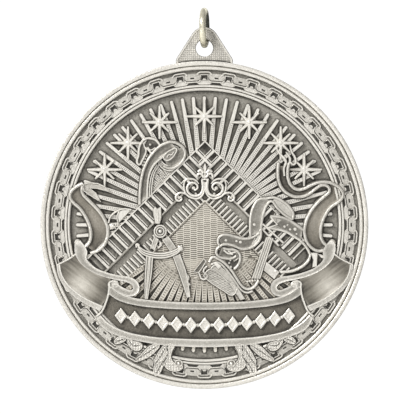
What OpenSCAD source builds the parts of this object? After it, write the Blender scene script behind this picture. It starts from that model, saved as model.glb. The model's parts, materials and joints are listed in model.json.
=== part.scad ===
/* [Medal] */
// Diameter of the round medal
disc_d = 60; // [50:1:75]
// Thickness of the medal at its rim
rim_t = 3; // [2.6:0.1:4]
// Height of the rim above the sunk field, which is the greatest depth of the relief
relief_h = 1.1; // [0.8:0.05:1.3]
// Depth of the plain sunk back behind its narrow rim
back_dip = 0.3; // [0.2:0.05:0.5]

/* [Border] */
// Pairs of links in the chain round the border
chain_pairs = 38; // [30:1:42]
// Rays round the whole field
ray_count = 72; // [48:4:72]

/* [Square and triangle] */
// Cells along each leg of the great square
square_cells = 17; // [12:1:18]
// Short bars along each side of the triangle
triangle_bars = 22; // [14:1:24]

/* [Ear] */
// Thickness of the ear
ear_t = 2.5; // [2:0.1:2.6]
// Width of the ear where it meets the disc
ear_w = 10.4; // [9:0.1:12]
// Radius of the hole through the ear
hole_r = 1.6; // [1.5:0.05:1.8]
// Metal between the hole and the top of the ear
ear_bridge = 2.2; // [1.8:0.1:2.4]
// Metal between the disc's edge and the bottom of the hole
ear_foot = 0.8; // [0.6:0.1:1.5]

/* [Jump ring] */
// Outer diameter of the jump ring
ring_d = 7.4; // [7.2:0.1:9]
// Diameter of its round wire
wire_d = 1.2; // [1:0.05:1.3]
// Turn of the ring about the upright, as it hangs in the ear
ring_turn = -6.5; // [-8:0.5:8]
// Width of the closed cut in the ring
cut_w = 0.04; // [0.02:0.01:0.1]
// How far the cut lies above the ring's middle, at the back
cut_turn = 35; // [20:5:60]

/* [Hidden] */
$fn = 48;
metal = "#B9B6AC";
wire_metal = "#CFCAB4";
disc_r = disc_d / 2;
// Free height between the ear's bridge and the ring that carries it
seat_gap = 0.06;
// Depth to which the raised work is rooted in the plate
root_depth = 0.2;

// Where the pieces hang: the origin is the inner top of the jump ring
ring_in_r = ring_d / 2 - wire_d;
ring_mid_r = (ring_d - wire_d) / 2;
ring_z = -ring_in_r;
hole_z = disc_r + ear_foot + hole_r;
hole_top_z = ring_z - sqrt(pow(ring_in_r, 2) - pow(ear_t / 2, 2)) + seat_gap;
medal_z = hole_top_z - hole_r - hole_z;

// Heights over the middle plane of the medal
rim_face = rim_t / 2;
floor_h = rim_face - relief_h;

// Rings of the border: inner and outer edge as shares of the disc's radius, height as a share of the relief
RINGS = [
    [0.822, 0.834, 0.70],
    [0.839, 0.851, 0.70],
    [0.946, 0.966, 0.88],
    [0.975, 1.000, 1.00]
];
// Height of the floor under the chain and between the rings
chain_floor = 0.30;

// Chain: middle of the border, then the length, width and slot of each link, as shares of the disc's radius
chain_mid = 0.900;
open_link = [0.104, 0.078, 0.036, 0.030];
side_link = [0.092, 0.042, 0.026, 0.012];

// Solid middle under the triangle: its half width and the radius of its foot
middle_half = 0.34;
middle_r = 0.39;
// Rays: where they leave the solid middle, where they end, and their widths there
ray_in = 0.37;
ray_out = 0.785;
ray_w_in = 0.031;
ray_w_out = 0.021;

// Stars: angle from the top and distance from the centre, then the arms of one star
STARS = [[0, 0.662], [23.6, 0.683], [-23.6, 0.683], [43, 0.683], [-43, 0.683], [61, 0.696], [-61, 0.696]];
star_long = 0.103;
star_short = 0.060;
star_waist = 0.020;

// Nested chevrons: height of each apex over the disc's centre
square_apex = 0.512;
square_inner = 0.325;
bars_apex = 0.256;
triangle_apex = 0.149;
square_leg = 1.03;
line_w = 0.012;

// Banner: middle lines of its top and bottom borders at the centre, then their sags and half lengths
banner_top = -0.480;
banner_foot = -0.728;
banner_sag = [0.062, 0.130];
banner_half = [0.577, 0.640];
border_w = 0.044;

// Left-hand ribbons, mirrored to the right: points from the top downwards as [across, up] shares
TAIL_INNER = [
    [-0.738, 0.238], [-0.690, 0.170], [-0.640, 0.092], [-0.600, -0.005], [-0.606, -0.095],
    [-0.690, -0.168]
];
TAIL_OUTER = [
    [-0.815, 0.185], [-0.775, 0.112], [-0.722, 0.055], [-0.692, -0.020], [-0.692, -0.095],
    [-0.725, -0.140]
];
FOLD_TOP = [
    [-0.765, -0.100], [-0.782, -0.180], [-0.745, -0.238], [-0.680, -0.292], [-0.590, -0.324],
    [-0.470, -0.330], [-0.412, -0.360]
];
HORN_OUTER = [[-0.872, -0.232], [-0.880, -0.290], [-0.838, -0.372], [-0.770, -0.446], [-0.640, -0.512]];
HORN_INNER = [[-0.785, -0.170], [-0.745, -0.245], [-0.670, -0.305], [-0.590, -0.345], [-0.565, -0.420]];
LOOP = [
    [-0.412, -0.350], [-0.404, -0.390], [-0.440, -0.422], [-0.500, -0.402], [-0.545, -0.370],
    [-0.582, -0.378], [-0.592, -0.425]
];

// Scroll ornament on the square, left half: stem and volute, then the small side curl
VOLUTE = [
    [-0.008, 0.270], [-0.014, 0.225], [-0.050, 0.178], [-0.098, 0.190], [-0.108, 0.232], [-0.078, 0.258],
    [-0.045, 0.232], [-0.066, 0.212]
];
SIDE_CURL = [[-0.070, 0.178], [-0.110, 0.200], [-0.150, 0.196], [-0.172, 0.168], [-0.152, 0.150]];
CROWN_LEAF = [[0, 0.352], [-0.020, 0.322], [-0.045, 0.312], [-0.052, 0.290]];

// Dividers: hinge, handle end and the tips of the two legs
pivot = [-0.268, -0.041];
grip_end = [-0.290, 0.103];
LEG_TIPS = [[-0.354, -0.445], [-0.091, -0.440]];
ARC_BAR = [[-0.405, -0.140], [-0.340, -0.178], [-0.285, -0.186], [-0.220, -0.180], [-0.141, -0.150]];

// Small ribbons beside the square: left curl, right curl and the fluted rule
LEFT_CURL = [
    [-0.390, 0.143], [-0.385, 0.290], [-0.322, 0.435], [-0.215, 0.508], [-0.120, 0.470], [-0.125, 0.395],
    [-0.195, 0.335]
];
RIGHT_CURL = [
    [0.300, -0.030], [0.315, 0.080], [0.350, 0.152], [0.430, 0.160], [0.520, 0.090], [0.540, 0.030]
];
LOWER_CURL = [
    [0.300, -0.060], [0.220, -0.110], [0.120, -0.110], [0.085, -0.160], [0.150, -0.215], [0.235, -0.185],
    [0.300, -0.235]
];
RULE = [[0.385, -0.080], [0.320, -0.400]];
TOOL = [[-0.020, -0.240], [0.150, -0.420]];

// Leaves at the foot, right-hand half: root and tip of each leaf, and its width
LEAVES = [
    [[0.215, -0.735], [0.340, -0.905], 0.062],
    [[0.290, -0.730], [0.455, -0.850], 0.056],
    [[0.340, -0.715], [0.560, -0.745], 0.060],
    [[0.180, -0.760], [0.240, -0.900], 0.060]
];

// Points along a smooth curve through a few chosen points
function smooth(p, n = 4) = [
    for (i = [0:len(p) - 2])
        let (a = p[max(i - 1, 0)], b = p[i], c = p[i + 1], d = p[min(i + 2, len(p) - 1)])
        for (k = [0:n - 1])
            let (t = k / n)
            0.5 * (2 * b + (c - a) * t + (2 * a - 5 * b + 4 * c - d) * t * t
                + (3 * b - a - 3 * c + d) * t * t * t),
    p[len(p) - 1]
];
function backwards(p) = [for (i = [len(p) - 1:-1:0]) p[i]];
// Unit vector square to a line of points at one of them
function side(p, i) = let (v = p[min(i + 1, len(p) - 1)] - p[max(i - 1, 0)]) [-v[1], v[0]] / norm(v);
// Half width, as a vector across the line, of a strip that has its own width at either end
function half_across(p, w0, w1, i) = side(p, i) * (w0 + (w1 - w0) * i / (len(p) - 1)) / 2;
// Height over the field of a sagging line that is level at the middle
function sagging(z0, sag, half, n = 8) = [
    for (i = [-n:n]) let (t = i / n) [half * t, z0 + sag * t * t]
];

// Raised work: a flat shape given in shares of the disc's radius, standing up to a share of the relief.
// Each height has its own root, so that no two flat shapes end on one plane inside the metal
module raised(share) {
    root = root_depth * (2 - share);
    translate([0, 0, floor_h - root])
        linear_extrude(height = share * relief_h + root)
            offset(delta = 0) scale(disc_r) children();
}
// Strip along a line, one length after another, so that it may cross itself
module strip(p, w0, w1) {
    for (i = [0:len(p) - 2])
        let (a = half_across(p, w0, w1, i), b = half_across(p, w0, w1, i + 1))
        polygon([p[i] + a, p[i + 1] + b, p[i + 1] - b, p[i] - a]);
}
module both_sides() {
    children();
    mirror([1, 0]) children();
}
// Outline of a bar with round ends
function rounded_bar(length, width) = [
    for (s = [1, -1], k = [-1.5:1:1.5])
        let (turn = 45 * k + (s > 0 ? 0 : 180))
        [s * (length - width) / 2, 0] + width / 2 / cos(22.5) * [cos(turn), sin(turn)]
];
module link(sizes) {
    difference() {
        polygon(rounded_bar(sizes[0], sizes[1]));
        square([sizes[2], sizes[3]], center = true);
    }
}
// Links of one kind, spaced evenly round the border
module links(sizes, phase) {
    for (i = [0:chain_pairs - 1])
        rotate((i + phase) * 360 / chain_pairs) translate([0, chain_mid]) link(sizes);
}
// One ray, from the edge of the great square or else from the solid middle
module ray(turn) {
    reach = sin(abs(turn)) + cos(turn);
    start = reach > 0.7 ? square_apex / reach - 0.03 : ray_in;
    polygon([
        [-ray_w_in / 2, start], [ray_w_in / 2, start],
        [ray_w_out / 2, ray_out], [-ray_w_out / 2, ray_out]
    ]);
}
// Eight points: four long arms and four short ones between them
module star() {
    polygon([
        for (i = [0:15])
            let (r = i % 2 == 1 ? star_waist : (i % 4 == 0 ? star_long : star_short))
            r * [sin(i * 22.5), cos(i * 22.5)]
    ]);
}
module leaf(root_point, tip, width) {
    v = tip - root_point;
    n = [-v[1], v[0]] / norm(v) * width / 2;
    polygon([root_point, root_point + v * 0.3 + n * 0.9, root_point + v * 0.6 + n, tip,
        root_point + v * 0.6 - n, root_point + v * 0.3 - n * 0.9]);
}
// One leg of a chevron: a strip that runs down from its apex at 45 degrees on the left
module leg_frame(apex) {
    translate([0, apex]) rotate(225) children();
}

// Round plate with the rim, the border's rings and the sunk back
module blank() {
    field_r = RINGS[0][0] * disc_r;
    between = floor_h + chain_floor * relief_h;
    steps = [
        for (r = RINGS)
            let (inner = r[0] * disc_r, outer = r[1] * disc_r, top = floor_h + r[2] * relief_h)
            each [[inner, inner > field_r ? between : floor_h], [inner, top], [outer, top], [outer, between]]
    ];
    rotate_extrude() polygon(concat(
        [[0, back_dip - rim_face], [0, floor_h]],
        [for (i = [0:len(steps) - 2]) steps[i]],
        [[disc_r, -rim_face], [field_r, -rim_face], [field_r, back_dip - rim_face]]
    ));
}
module chain() {
    raised(0.86) links(open_link, 0);
    raised(0.74) links(side_link, 0.5);
}
module sunburst() {
    raised(0.36)
        for (i = [0:ray_count - 1]) let (turn = i * 360 / ray_count - 180) rotate(turn) ray(turn);
    raised(0.72) for (s = STARS) rotate(-s[0]) translate([0, s[1]]) rotate(s[0]) star();
}
// Great square: floor, borders and rungs, then the plain band, the short bars and the triangle
module great_square() {
    width = (square_apex - square_inner) / sqrt(2);
    pitch = (square_leg - width) / square_cells;
    raised(0.44) both_sides() leg_frame(square_apex) square([square_leg, width + 0.05]);
    raised(0.76) both_sides() leg_frame(square_apex) {
        square([square_leg, line_w]);
        translate([0, width - line_w]) square([square_leg, line_w]);
        for (i = [0:square_cells])
            translate([width + i * pitch - line_w, 0]) square([2 * line_w, width]);
    }
}
module triangle() {
    reach = bars_apex / sqrt(2) * 2.9;
    bar_l = (bars_apex - triangle_apex) / sqrt(2);
    pitch = reach / triangle_bars;
    raised(0.40) both_sides() leg_frame(bars_apex) square([reach, bar_l]);
    raised(0.60) both_sides() leg_frame(bars_apex)
        for (i = [1:triangle_bars - 1]) translate([bar_l + i * pitch * 0.85, 0]) square([pitch * 0.5, bar_l]);
    raised(0.56) polygon(concat(
        [[0, triangle_apex + line_w], [-middle_half, triangle_apex + line_w - middle_half]],
        [for (k = [-2:2]) middle_r * [sin(20 * k), -cos(20 * k)]],
        [[middle_half, triangle_apex + line_w - middle_half]]
    ));
}
module scrolls() {
    raised(0.95) {
        both_sides() {
            strip(smooth(VOLUTE), 0.030, 0.016);
            strip(smooth(SIDE_CURL), 0.024, 0.014);
            strip(smooth(CROWN_LEAF), 0.030, 0.012);
        }
        translate([0, 0.285]) circle(r = 0.020);
    }
}
module dividers() {
    raised(0.92) {
        translate(pivot) circle(r = 0.038);
        strip([pivot, grip_end], 0.030, 0.046);
        for (tip = LEG_TIPS) strip([pivot, tip], 0.044, 0.018);
        strip(smooth(ARC_BAR), 0.040, 0.040);
    }
}
module tools_and_curls() {
    raised(0.70) {
        strip(smooth(LEFT_CURL), 0.075, 0.045);
        strip(smooth(RIGHT_CURL), 0.070, 0.060);
        strip(smooth(LOWER_CURL), 0.050, 0.040);
        strip(RULE, 0.055, 0.055);
        strip(TOOL, 0.060, 0.045);
    }
}
module ribbons() {
    raised(0.62) both_sides() {
        polygon(concat(smooth(TAIL_INNER), backwards(smooth(TAIL_OUTER))));
        polygon(concat(smooth(HORN_INNER), backwards(smooth(HORN_OUTER))));
    }
    raised(0.98) both_sides() {
        strip(smooth(TAIL_INNER), 0.026, 0.026);
        strip(smooth(TAIL_OUTER), 0.024, 0.024);
        strip(smooth(HORN_OUTER), 0.030, 0.040);
        strip(smooth(FOLD_TOP), 0.070, 0.036);
        strip(smooth(LOOP), 0.030, 0.030);
    }
}
module banner() {
    top = sagging(banner_top, banner_sag[0], banner_half[0]);
    foot = sagging(banner_foot, banner_sag[1], banner_half[1]);
    raised(0.58) polygon(concat(top, backwards(foot)));
    raised(1.0) {
        strip(top, border_w, border_w);
        strip(foot, border_w, border_w);
        // Plain lozenges stand where an inscription may go
        for (i = [-5:5]) {
            t = i / 6;
            translate([banner_half[0] * t, (banner_top + banner_foot) / 2 + banner_sag[1] * 0.6 * t * t])
                rotate(45) square(0.050, center = true);
        }
    }
}
module leaves() {
    raised(0.97) both_sides() for (l = LEAVES) leaf(l[0], l[1], l[2]);
}

// Ear: a triangle with round corners, tangent to a circle at the top and one at either foot
module ear_outline() {
    top_r = hole_r * 1.55;
    top_z = hole_z + hole_r + ear_bridge - top_r;
    foot_r = ear_w * 0.09;
    foot = [ear_w / 2 - foot_r, disc_r * 0.995];
    across = foot - [0, top_z];
    lean = atan2(across[1], across[0]) + acos((top_r - foot_r) / norm(across));
    n = [cos(lean), sin(lean)];
    low = disc_r * 0.96;
    polygon([[0, low], [ear_w / 2, low], [ear_w / 2, foot[1]], foot + foot_r * n, [0, top_z] + top_r * n,
        [0, top_z], [-top_r * n[0], top_z + top_r * n[1]], [-foot[0] - foot_r * n[0], foot[1] + foot_r * n[1]],
        [-ear_w / 2, foot[1]], [-ear_w / 2, low]]);
    translate([0, top_z]) circle(r = top_r);
    for (s = [-1, 1]) translate([s * foot[0], foot[1]]) circle(r = foot_r);
}
module ear() {
    translate([0, 0, -ear_t / 2]) linear_extrude(height = ear_t) ear_outline();
}

module medal() {
    color(metal) translate([0, 0, medal_z]) rotate([90, 0, 0]) difference() {
        union() {
            blank();
            chain();
            sunburst();
            great_square();
            triangle();
            scrolls();
            dividers();
            tools_and_curls();
            ribbons();
            banner();
            leaves();
            ear();
        }
        translate([0, hole_z, -ear_t]) cylinder(h = 2 * ear_t, r = hole_r);
    }
}

// Wire bent round to a ring about the left-to-right axis, with its closed cut at the back
module jump_ring() {
    color(wire_metal) translate([0, 0, ring_z]) rotate(ring_turn) difference() {
        rotate([0, 90, 0]) rotate_extrude() translate([ring_mid_r, 0]) circle(d = wire_d);
        rotate([cut_turn, 0, 0]) translate([-wire_d, 0, -cut_w / 2]) cube([2 * wire_d, ring_d, cut_w]);
    }
}

medal();
jump_ring();
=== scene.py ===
import json
import math

import bmesh
import bpy
import numpy as np
from bpy.props import FloatProperty, FloatVectorProperty, IntProperty, PointerProperty
from bpy.types import Operator, Panel, PropertyGroup
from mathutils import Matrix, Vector
from mathutils.bvhtree import BVHTree

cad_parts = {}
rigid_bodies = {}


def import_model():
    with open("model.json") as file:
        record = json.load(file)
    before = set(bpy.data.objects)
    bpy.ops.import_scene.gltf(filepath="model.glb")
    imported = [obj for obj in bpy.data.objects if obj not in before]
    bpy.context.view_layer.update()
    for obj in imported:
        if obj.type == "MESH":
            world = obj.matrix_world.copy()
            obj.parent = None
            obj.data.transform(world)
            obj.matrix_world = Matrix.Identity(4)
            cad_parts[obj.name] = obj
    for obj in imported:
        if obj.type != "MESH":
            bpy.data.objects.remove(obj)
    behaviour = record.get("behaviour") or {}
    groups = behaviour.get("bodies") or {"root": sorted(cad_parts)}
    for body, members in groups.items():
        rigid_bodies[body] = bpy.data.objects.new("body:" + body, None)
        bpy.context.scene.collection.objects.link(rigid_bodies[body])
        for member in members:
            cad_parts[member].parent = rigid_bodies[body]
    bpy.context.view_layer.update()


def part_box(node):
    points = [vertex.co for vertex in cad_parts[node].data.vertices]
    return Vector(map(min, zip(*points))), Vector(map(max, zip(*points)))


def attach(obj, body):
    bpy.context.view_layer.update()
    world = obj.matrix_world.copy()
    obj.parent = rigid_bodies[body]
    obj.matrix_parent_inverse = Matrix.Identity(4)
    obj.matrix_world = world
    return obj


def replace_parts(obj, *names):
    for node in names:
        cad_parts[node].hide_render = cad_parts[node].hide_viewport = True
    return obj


bl_info = {
    "name": "Lodge jewel",
    "version": (1, 0, 0),
    "blender": (4, 5, 0),
    "location": "3D View > Sidebar > Jewel",
    "description": "Models the cast medal, its relief and its jump ring over the packed frame",
    "category": "Mesh",
}

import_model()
MEDAL_LOW, MEDAL_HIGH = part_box("medal")
RING_LOW, RING_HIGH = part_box("jump_ring")

# The relief is modelled lying flat, in millimetres, with the disc's centre at the origin and +Z towards the viewer
MM = 0.001
DISC_R = (MEDAL_HIGH[0] - MEDAL_LOW[0]) / 2 / MM - 0.006
RIM_TOP = -MEDAL_LOW[1] / MM
DISC_Z = MEDAL_LOW[2] / MM + DISC_R + 0.006

# The drawing sheet of the relief: its disc centre and disc radius, with y running down the sheet
SHEET_X = 204.4
SHEET_Y = 224.9
SHEET_R = 164.0
AXIS_X = 205.0

# Heights of the work over the middle plane of the medal
FIELD = 0.40
CHANNEL = 0.96
SQUARE_FLOOR = 0.62
RAY_TOP = 0.98
MIDDLE_TOP = 1.00
ZONE_TOP = 1.04
LOW_TOP = 1.15
LINE_TOP = 1.22
LINK_TOP = 1.28
HIGH_TOP = 1.46
ROOT = 0.25


def unit(x):
    """Millimetres for a length on the sheet."""
    return x * DISC_R / SHEET_R


# Outer corner of the great square over the disc's centre
APEX = unit(84.0)


def sheet(*points):
    """Millimetres from the disc's centre for points on the sheet."""
    return [(unit(x - SHEET_X), unit(SHEET_Y - y)) for x, y in points]


def across(points):
    """Points on the left half of the sheet, then their mirror images in turn back up the right half."""
    return list(points) + [(2 * AXIS_X - x, y) for x, y in reversed(points)]


# Selection and placing


def rest():
    if bpy.context.object and bpy.context.object.mode != "OBJECT":
        bpy.ops.object.mode_set(mode="OBJECT")
    bpy.ops.object.select_all(action="DESELECT")


def take(*pieces):
    rest()
    for piece in pieces:
        piece.select_set(True)
    bpy.context.view_layer.objects.active = pieces[0]
    return pieces[0]


def enter(piece, kind="FACE"):
    take(piece)
    bpy.ops.object.mode_set(mode="EDIT")
    bpy.ops.mesh.select_mode(type=kind)
    bpy.ops.mesh.select_all(action="SELECT")


def leave():
    bpy.ops.object.mode_set(mode="OBJECT")


def pick(piece, kind, test):
    """In edit mode, selects the faces or vertices that pass a test."""
    bpy.ops.mesh.select_mode(type=kind)
    bpy.ops.mesh.select_all(action="DESELECT")
    mesh = bmesh.from_edit_mesh(piece.data)
    for part in mesh.faces if kind == "FACE" else mesh.verts:
        if test(part):
            part.select_set(True)
    mesh.select_flush_mode()
    bmesh.update_edit_mesh(piece.data)


def shift(x=0.0, y=0.0, z=0.0):
    bpy.ops.transform.translate(value=(x, y, z))


def grow(x, y, z, about=(0.0, 0.0, 0.0)):
    bpy.ops.transform.resize(value=(x, y, z), center_override=about)


def joined(*pieces):
    take(*pieces)
    if len(pieces) > 1:
        bpy.ops.object.join()
    return pieces[0]


def settled(piece, move=(0.0, 0.0), turn=0.0, flip=False):
    """Gives a piece its place on the flat medal, turned about the upright or mirrored left to right."""
    take(piece)
    piece.location = (*move, 0.0)
    piece.rotation_euler = (0.0, 0.0, math.radians(turn))
    bpy.ops.object.transform_apply(location=True, rotation=True, scale=True)
    if flip:
        piece.scale = (-1.0, 1.0, 1.0)
        bpy.ops.object.transform_apply(location=True, rotation=True, scale=True)
        enter(piece)
        bpy.ops.mesh.normals_make_consistent(inside=False)
        leave()
    return piece


def twin(piece):
    take(piece)
    bpy.ops.object.duplicate(linked=False)
    return bpy.context.object


def mirrored(piece):
    """The piece joined with its mirror image on the other side of the sheet's axis."""
    other = twin(piece)
    settled(other, flip=True)
    settled(other, move=(2 * unit(AXIS_X - SHEET_X), 0.0))
    return joined(piece, other)


def applied(piece, kind, **settings):
    take(piece)
    modifier = piece.modifiers.new(kind.title(), kind)
    for key, value in settings.items():
        setattr(modifier, key, value)
    bpy.ops.object.modifier_apply(modifier=modifier.name)
    return piece


def row_of(piece, count, step_x, step_y):
    return applied(
        piece,
        "ARRAY",
        count=count,
        use_relative_offset=False,
        use_constant_offset=True,
        constant_offset_displace=(step_x, step_y, 0.0),
    )


def round_of(piece, count, degrees):
    """Copies of a piece turned round the disc's centre."""
    rest()
    bpy.ops.object.empty_add(rotation=(0.0, 0.0, math.radians(degrees)))
    turner = bpy.context.object
    applied(
        piece,
        "ARRAY",
        count=count,
        use_relative_offset=False,
        use_object_offset=True,
        offset_object=turner,
    )
    take(turner)
    bpy.ops.object.delete()
    return piece


def wear(piece, low, high, least=0.0, most=1.0):
    """Stores the level of patina and of painted light and shade: least at the low height, most at the high one."""
    mesh = piece.data
    layer = mesh.attributes.get("wear") or mesh.attributes.new("wear", "FLOAT", "POINT")
    for spot, vertex in zip(layer.data, mesh.vertices):
        share = min(max((vertex.co.z - low) / (high - low), 0.0), 1.0)
        spot.value = least + (most - least) * share
    return piece


# Ways of working


def drawn(points, closed=False, sharp=False, detail=4, ends=(1.0, 1.0), middle=1.0):
    """A curve through a few points, with its width swelling to the middle from either end."""
    rest()
    bpy.ops.curve.primitive_bezier_curve_add()
    piece = bpy.context.object
    spline = piece.data.splines[0]
    spline.bezier_points.add(len(points) - 2)
    last = len(points) - 1
    for i, (knot, point) in enumerate(zip(spline.bezier_points, points)):
        knot.co = (point[0], point[1], 0.0)
        knot.handle_left_type = knot.handle_right_type = "VECTOR" if sharp else "AUTO"
        share = i / last
        end = ends[0] if share < 0.5 else ends[1]
        knot.radius = end + (middle - end) * (1.0 - abs(2.0 * share - 1.0))
    spline.use_cyclic_u = closed
    piece.data.resolution_u = 1 if sharp else detail
    return piece


def meshed(piece):
    take(piece)
    bpy.ops.object.convert(target="MESH")
    return bpy.context.object


def spread_foot(base, run):
    """In edit mode, sets the picked foot down on its base, wider by a run, as a casting draws from its mould."""
    bpy.ops.transform.shrink_fatten(value=run)
    grow(1.0, 1.0, 0.0, (0.0, 0.0, base))


def ridge(points, width, top, base, sides=1, most=1.0, **how):
    """A raised line with a round back, from the base height up to the top."""
    piece = drawn(points, **how)
    shape = piece.data
    shape.dimensions = "3D"
    shape.twist_mode = "Z_UP"
    shape.bevel_depth = width / 2
    shape.bevel_resolution = sides
    shape.use_fill_caps = True
    piece = meshed(piece)
    crown = min(0.36 * width, top - base)
    spring = top - crown
    peak = max(vertex.co.z for vertex in piece.data.vertices)
    enter(piece)
    bpy.ops.mesh.remove_doubles(threshold=0.001)
    bpy.ops.mesh.normals_make_consistent(inside=False)
    grow(1.0, 1.0, crown / peak)
    shift(z=spring)
    pick(piece, "VERT", lambda v: v.co.z < spring - 0.01)
    spread_foot(base, 0.04 + 0.22 * (spring - base))
    leave()
    # Lower flanks darker than the crown: patina and painted shade.
    return wear(piece, spring - 0.03, top - 0.25 * crown, 0.12, most)


def shade(points, width, top=LOW_TOP + 0.02, level=0.04, **how):
    """A dark bed of painted shade under a raised line, a little wider than the line itself."""
    return wear(ridge(points, width, top, FIELD - ROOT, **how), 0.0, 1.0, level, level)


def plate(points, bottom, top, edge=0.10, lip=0.09, least=0.0, most=0.86, hole=None, draft=0.26, **how):
    """A flat raised shape with its top edge eased, and a hole whose points run the other way round."""
    piece = drawn(points, closed=True, **how)
    if hole:
        piece = joined(piece, drawn(hole, closed=True, **how))
    shape = piece.data
    shape.dimensions = "2D"
    shape.fill_mode = "BOTH"
    shape.extrude = (top - bottom) / 2 - edge
    shape.bevel_depth = edge
    shape.offset = -edge
    shape.bevel_resolution = 0
    piece = meshed(piece)
    enter(piece)
    bpy.ops.mesh.remove_doubles(threshold=0.001)
    bpy.ops.mesh.normals_make_consistent(inside=False)
    shift(z=(top + bottom) / 2)
    if draft:
        pick(piece, "VERT", lambda v: v.co.z < bottom + edge + 0.01)
        spread_foot(bottom, draft * (top - bottom))
    if lip:
        pick(piece, "FACE", lambda face: face.normal.z > 0.9 and face.calc_center_median().z > top - 0.01)
        bpy.ops.mesh.inset(thickness=lip, use_even_offset=False)
    leave()
    # Eased edge and walls darker than the top: patina and painted shade.
    return wear(piece, top - 1.2 * edge, top, least, most)


def band(left, right, top, sag, bottom, detail=4, least=0.0, most=0.9, cuts=3):
    """A strip between two lines, hollowed by the sag or crowned where it is negative, and closed underneath."""
    one = meshed(drawn(left, detail=detail))
    two = meshed(drawn(right, detail=detail))
    piece = joined(one, two)
    enter(piece, "EDGE")
    bpy.ops.mesh.bridge_edge_loops(number_cuts=cuts, interpolation="LINEAR")
    bpy.ops.mesh.select_mode(type="FACE")
    bpy.ops.mesh.select_all(action="SELECT")
    shift(z=top)
    bpy.ops.mesh.region_to_loop()
    bpy.ops.mesh.select_mode(type="VERT")
    bpy.ops.mesh.select_all(action="INVERT")
    shift(z=-0.75 * sag)
    bpy.ops.mesh.select_less()
    shift(z=-0.25 * sag)
    bpy.ops.mesh.select_mode(type="FACE")
    bpy.ops.mesh.select_all(action="SELECT")
    bpy.ops.mesh.extrude_region_move(TRANSFORM_OT_translate={"value": (0.0, 0.0, bottom - top)})
    bpy.ops.mesh.select_all(action="SELECT")
    bpy.ops.mesh.normals_make_consistent(inside=False)
    leave()
    # Darker towards the bottom of the hollow: patina and painted shade.
    low = top - max(sag, 0.4)
    return wear(piece, low, top, least, most)


def bead(x, y, radius, top, base):
    """A small round boss, its crown drawn in from a short cylinder."""
    rest()
    bpy.ops.mesh.primitive_circle_add(vertices=8, radius=radius, fill_type="NGON", location=(x, y, base))
    piece = bpy.context.object
    bpy.ops.object.transform_apply(location=True)
    enter(piece)
    bpy.ops.mesh.extrude_region_move(TRANSFORM_OT_translate={"value": (0.0, 0.0, 0.6 * (top - base))})
    bpy.ops.mesh.extrude_region_move(TRANSFORM_OT_translate={"value": (0.0, 0.0, 0.4 * (top - base))})
    grow(0.5, 0.5, 1.0, (x, y, top))
    bpy.ops.mesh.select_all(action="SELECT")
    bpy.ops.mesh.normals_make_consistent(inside=False)
    leave()
    # Lower sides darker than the crown: patina and painted shade.
    return wear(piece, base, top - 0.1)


def bar(x, y, length, width, bottom, top, chamfer=0.8, groove=0.0, foot=0.0):
    """A straight raised bar with its top drawn in, and a groove sunk along it if asked."""
    rest()
    middle = (x + length / 2, y + width / 2, (bottom + top) / 2)
    bpy.ops.mesh.primitive_cube_add(size=1.0, location=middle, scale=(length, width, top - bottom))
    piece = bpy.context.object
    bpy.ops.object.transform_apply(location=True, scale=True)
    enter(piece)
    pick(piece, "FACE", lambda face: face.normal.z > 0.5)
    thin = min(length, width)
    grow((length - thin * (1 - chamfer)) / length, (width - thin * (1 - chamfer)) / width, 1.0, middle)
    if groove:
        bpy.ops.mesh.inset(thickness=thin * 0.22)
        shift(z=-groove)
    pick(piece, "FACE", lambda face: face.normal.z < -0.5)
    grow((length + 2 * foot) / length, (width + 2 * foot) / width, 1.0, middle)
    leave()
    # Sides darker than the top: patina and painted shade.
    return wear(piece, top - 0.5, top - 0.02)


def floor_of(x, y, length, width, bottom, top, level, cell=0.17):
    """A flat bed in small cells, so that patina and painted shade can gather along what stands on it."""
    rest()
    columns = max(int(length / cell), 1)
    rows = max(int(width / cell), 1)
    middle = (x + length / 2, y + width / 2, bottom)
    bpy.ops.mesh.primitive_grid_add(x_subdivisions=columns, y_subdivisions=rows, size=1.0, location=middle)
    piece = bpy.context.object
    piece.scale = (length, width, 1.0)
    bpy.ops.object.transform_apply(location=True, scale=True)
    enter(piece)
    bpy.ops.mesh.extrude_region_move(TRANSFORM_OT_translate={"value": (0.0, 0.0, top - bottom)})
    bpy.ops.mesh.select_all(action="SELECT")
    bpy.ops.mesh.normals_make_consistent(inside=False)
    pick(piece, "FACE", lambda face: face.normal.z < -0.9)
    bpy.ops.mesh.dissolve_faces()
    leave()
    return wear(piece, 0.0, 1.0, level, level)


def graded(piece, angle, start, end, levels, over=False):
    """Paints shade across a hollow along a direction on the sheet by a few levels in turn, or dims what it has by them.
    """
    turn = math.radians(angle)
    places = np.linspace(start, end, len(levels))
    layer = piece.data.attributes["wear"]
    for spot, vertex in zip(layer.data, piece.data.vertices):
        along = vertex.co.x * math.cos(turn) + vertex.co.y * math.sin(turn)
        level = float(np.interp(along, places, levels))
        spot.value = spot.value * level if over else level
    return piece


# Materials


class Value:
    """A socket that sums can be written with."""

    def __init__(self, tree, socket):
        self.tree = tree
        self.socket = socket

    def sum(self, operation, other, swap=False):
        node = self.tree.nodes.new("ShaderNodeMath")
        node.operation = operation
        for socket, item in zip(node.inputs, (other, self) if swap else (self, other)):
            feed(self.tree, socket, item)
        return Value(self.tree, node.outputs[0])

    def __add__(self, other):
        return self.sum("ADD", other)

    __radd__ = __add__

    def __sub__(self, other):
        return self.sum("SUBTRACT", other)

    def __rsub__(self, other):
        return self.sum("SUBTRACT", other, swap=True)

    def __mul__(self, other):
        return self.sum("MULTIPLY", other)

    __rmul__ = __mul__


def feed(tree, socket, item):
    if isinstance(item, Value):
        tree.links.new(item.socket, socket)
    else:
        socket.default_value = item


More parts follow.
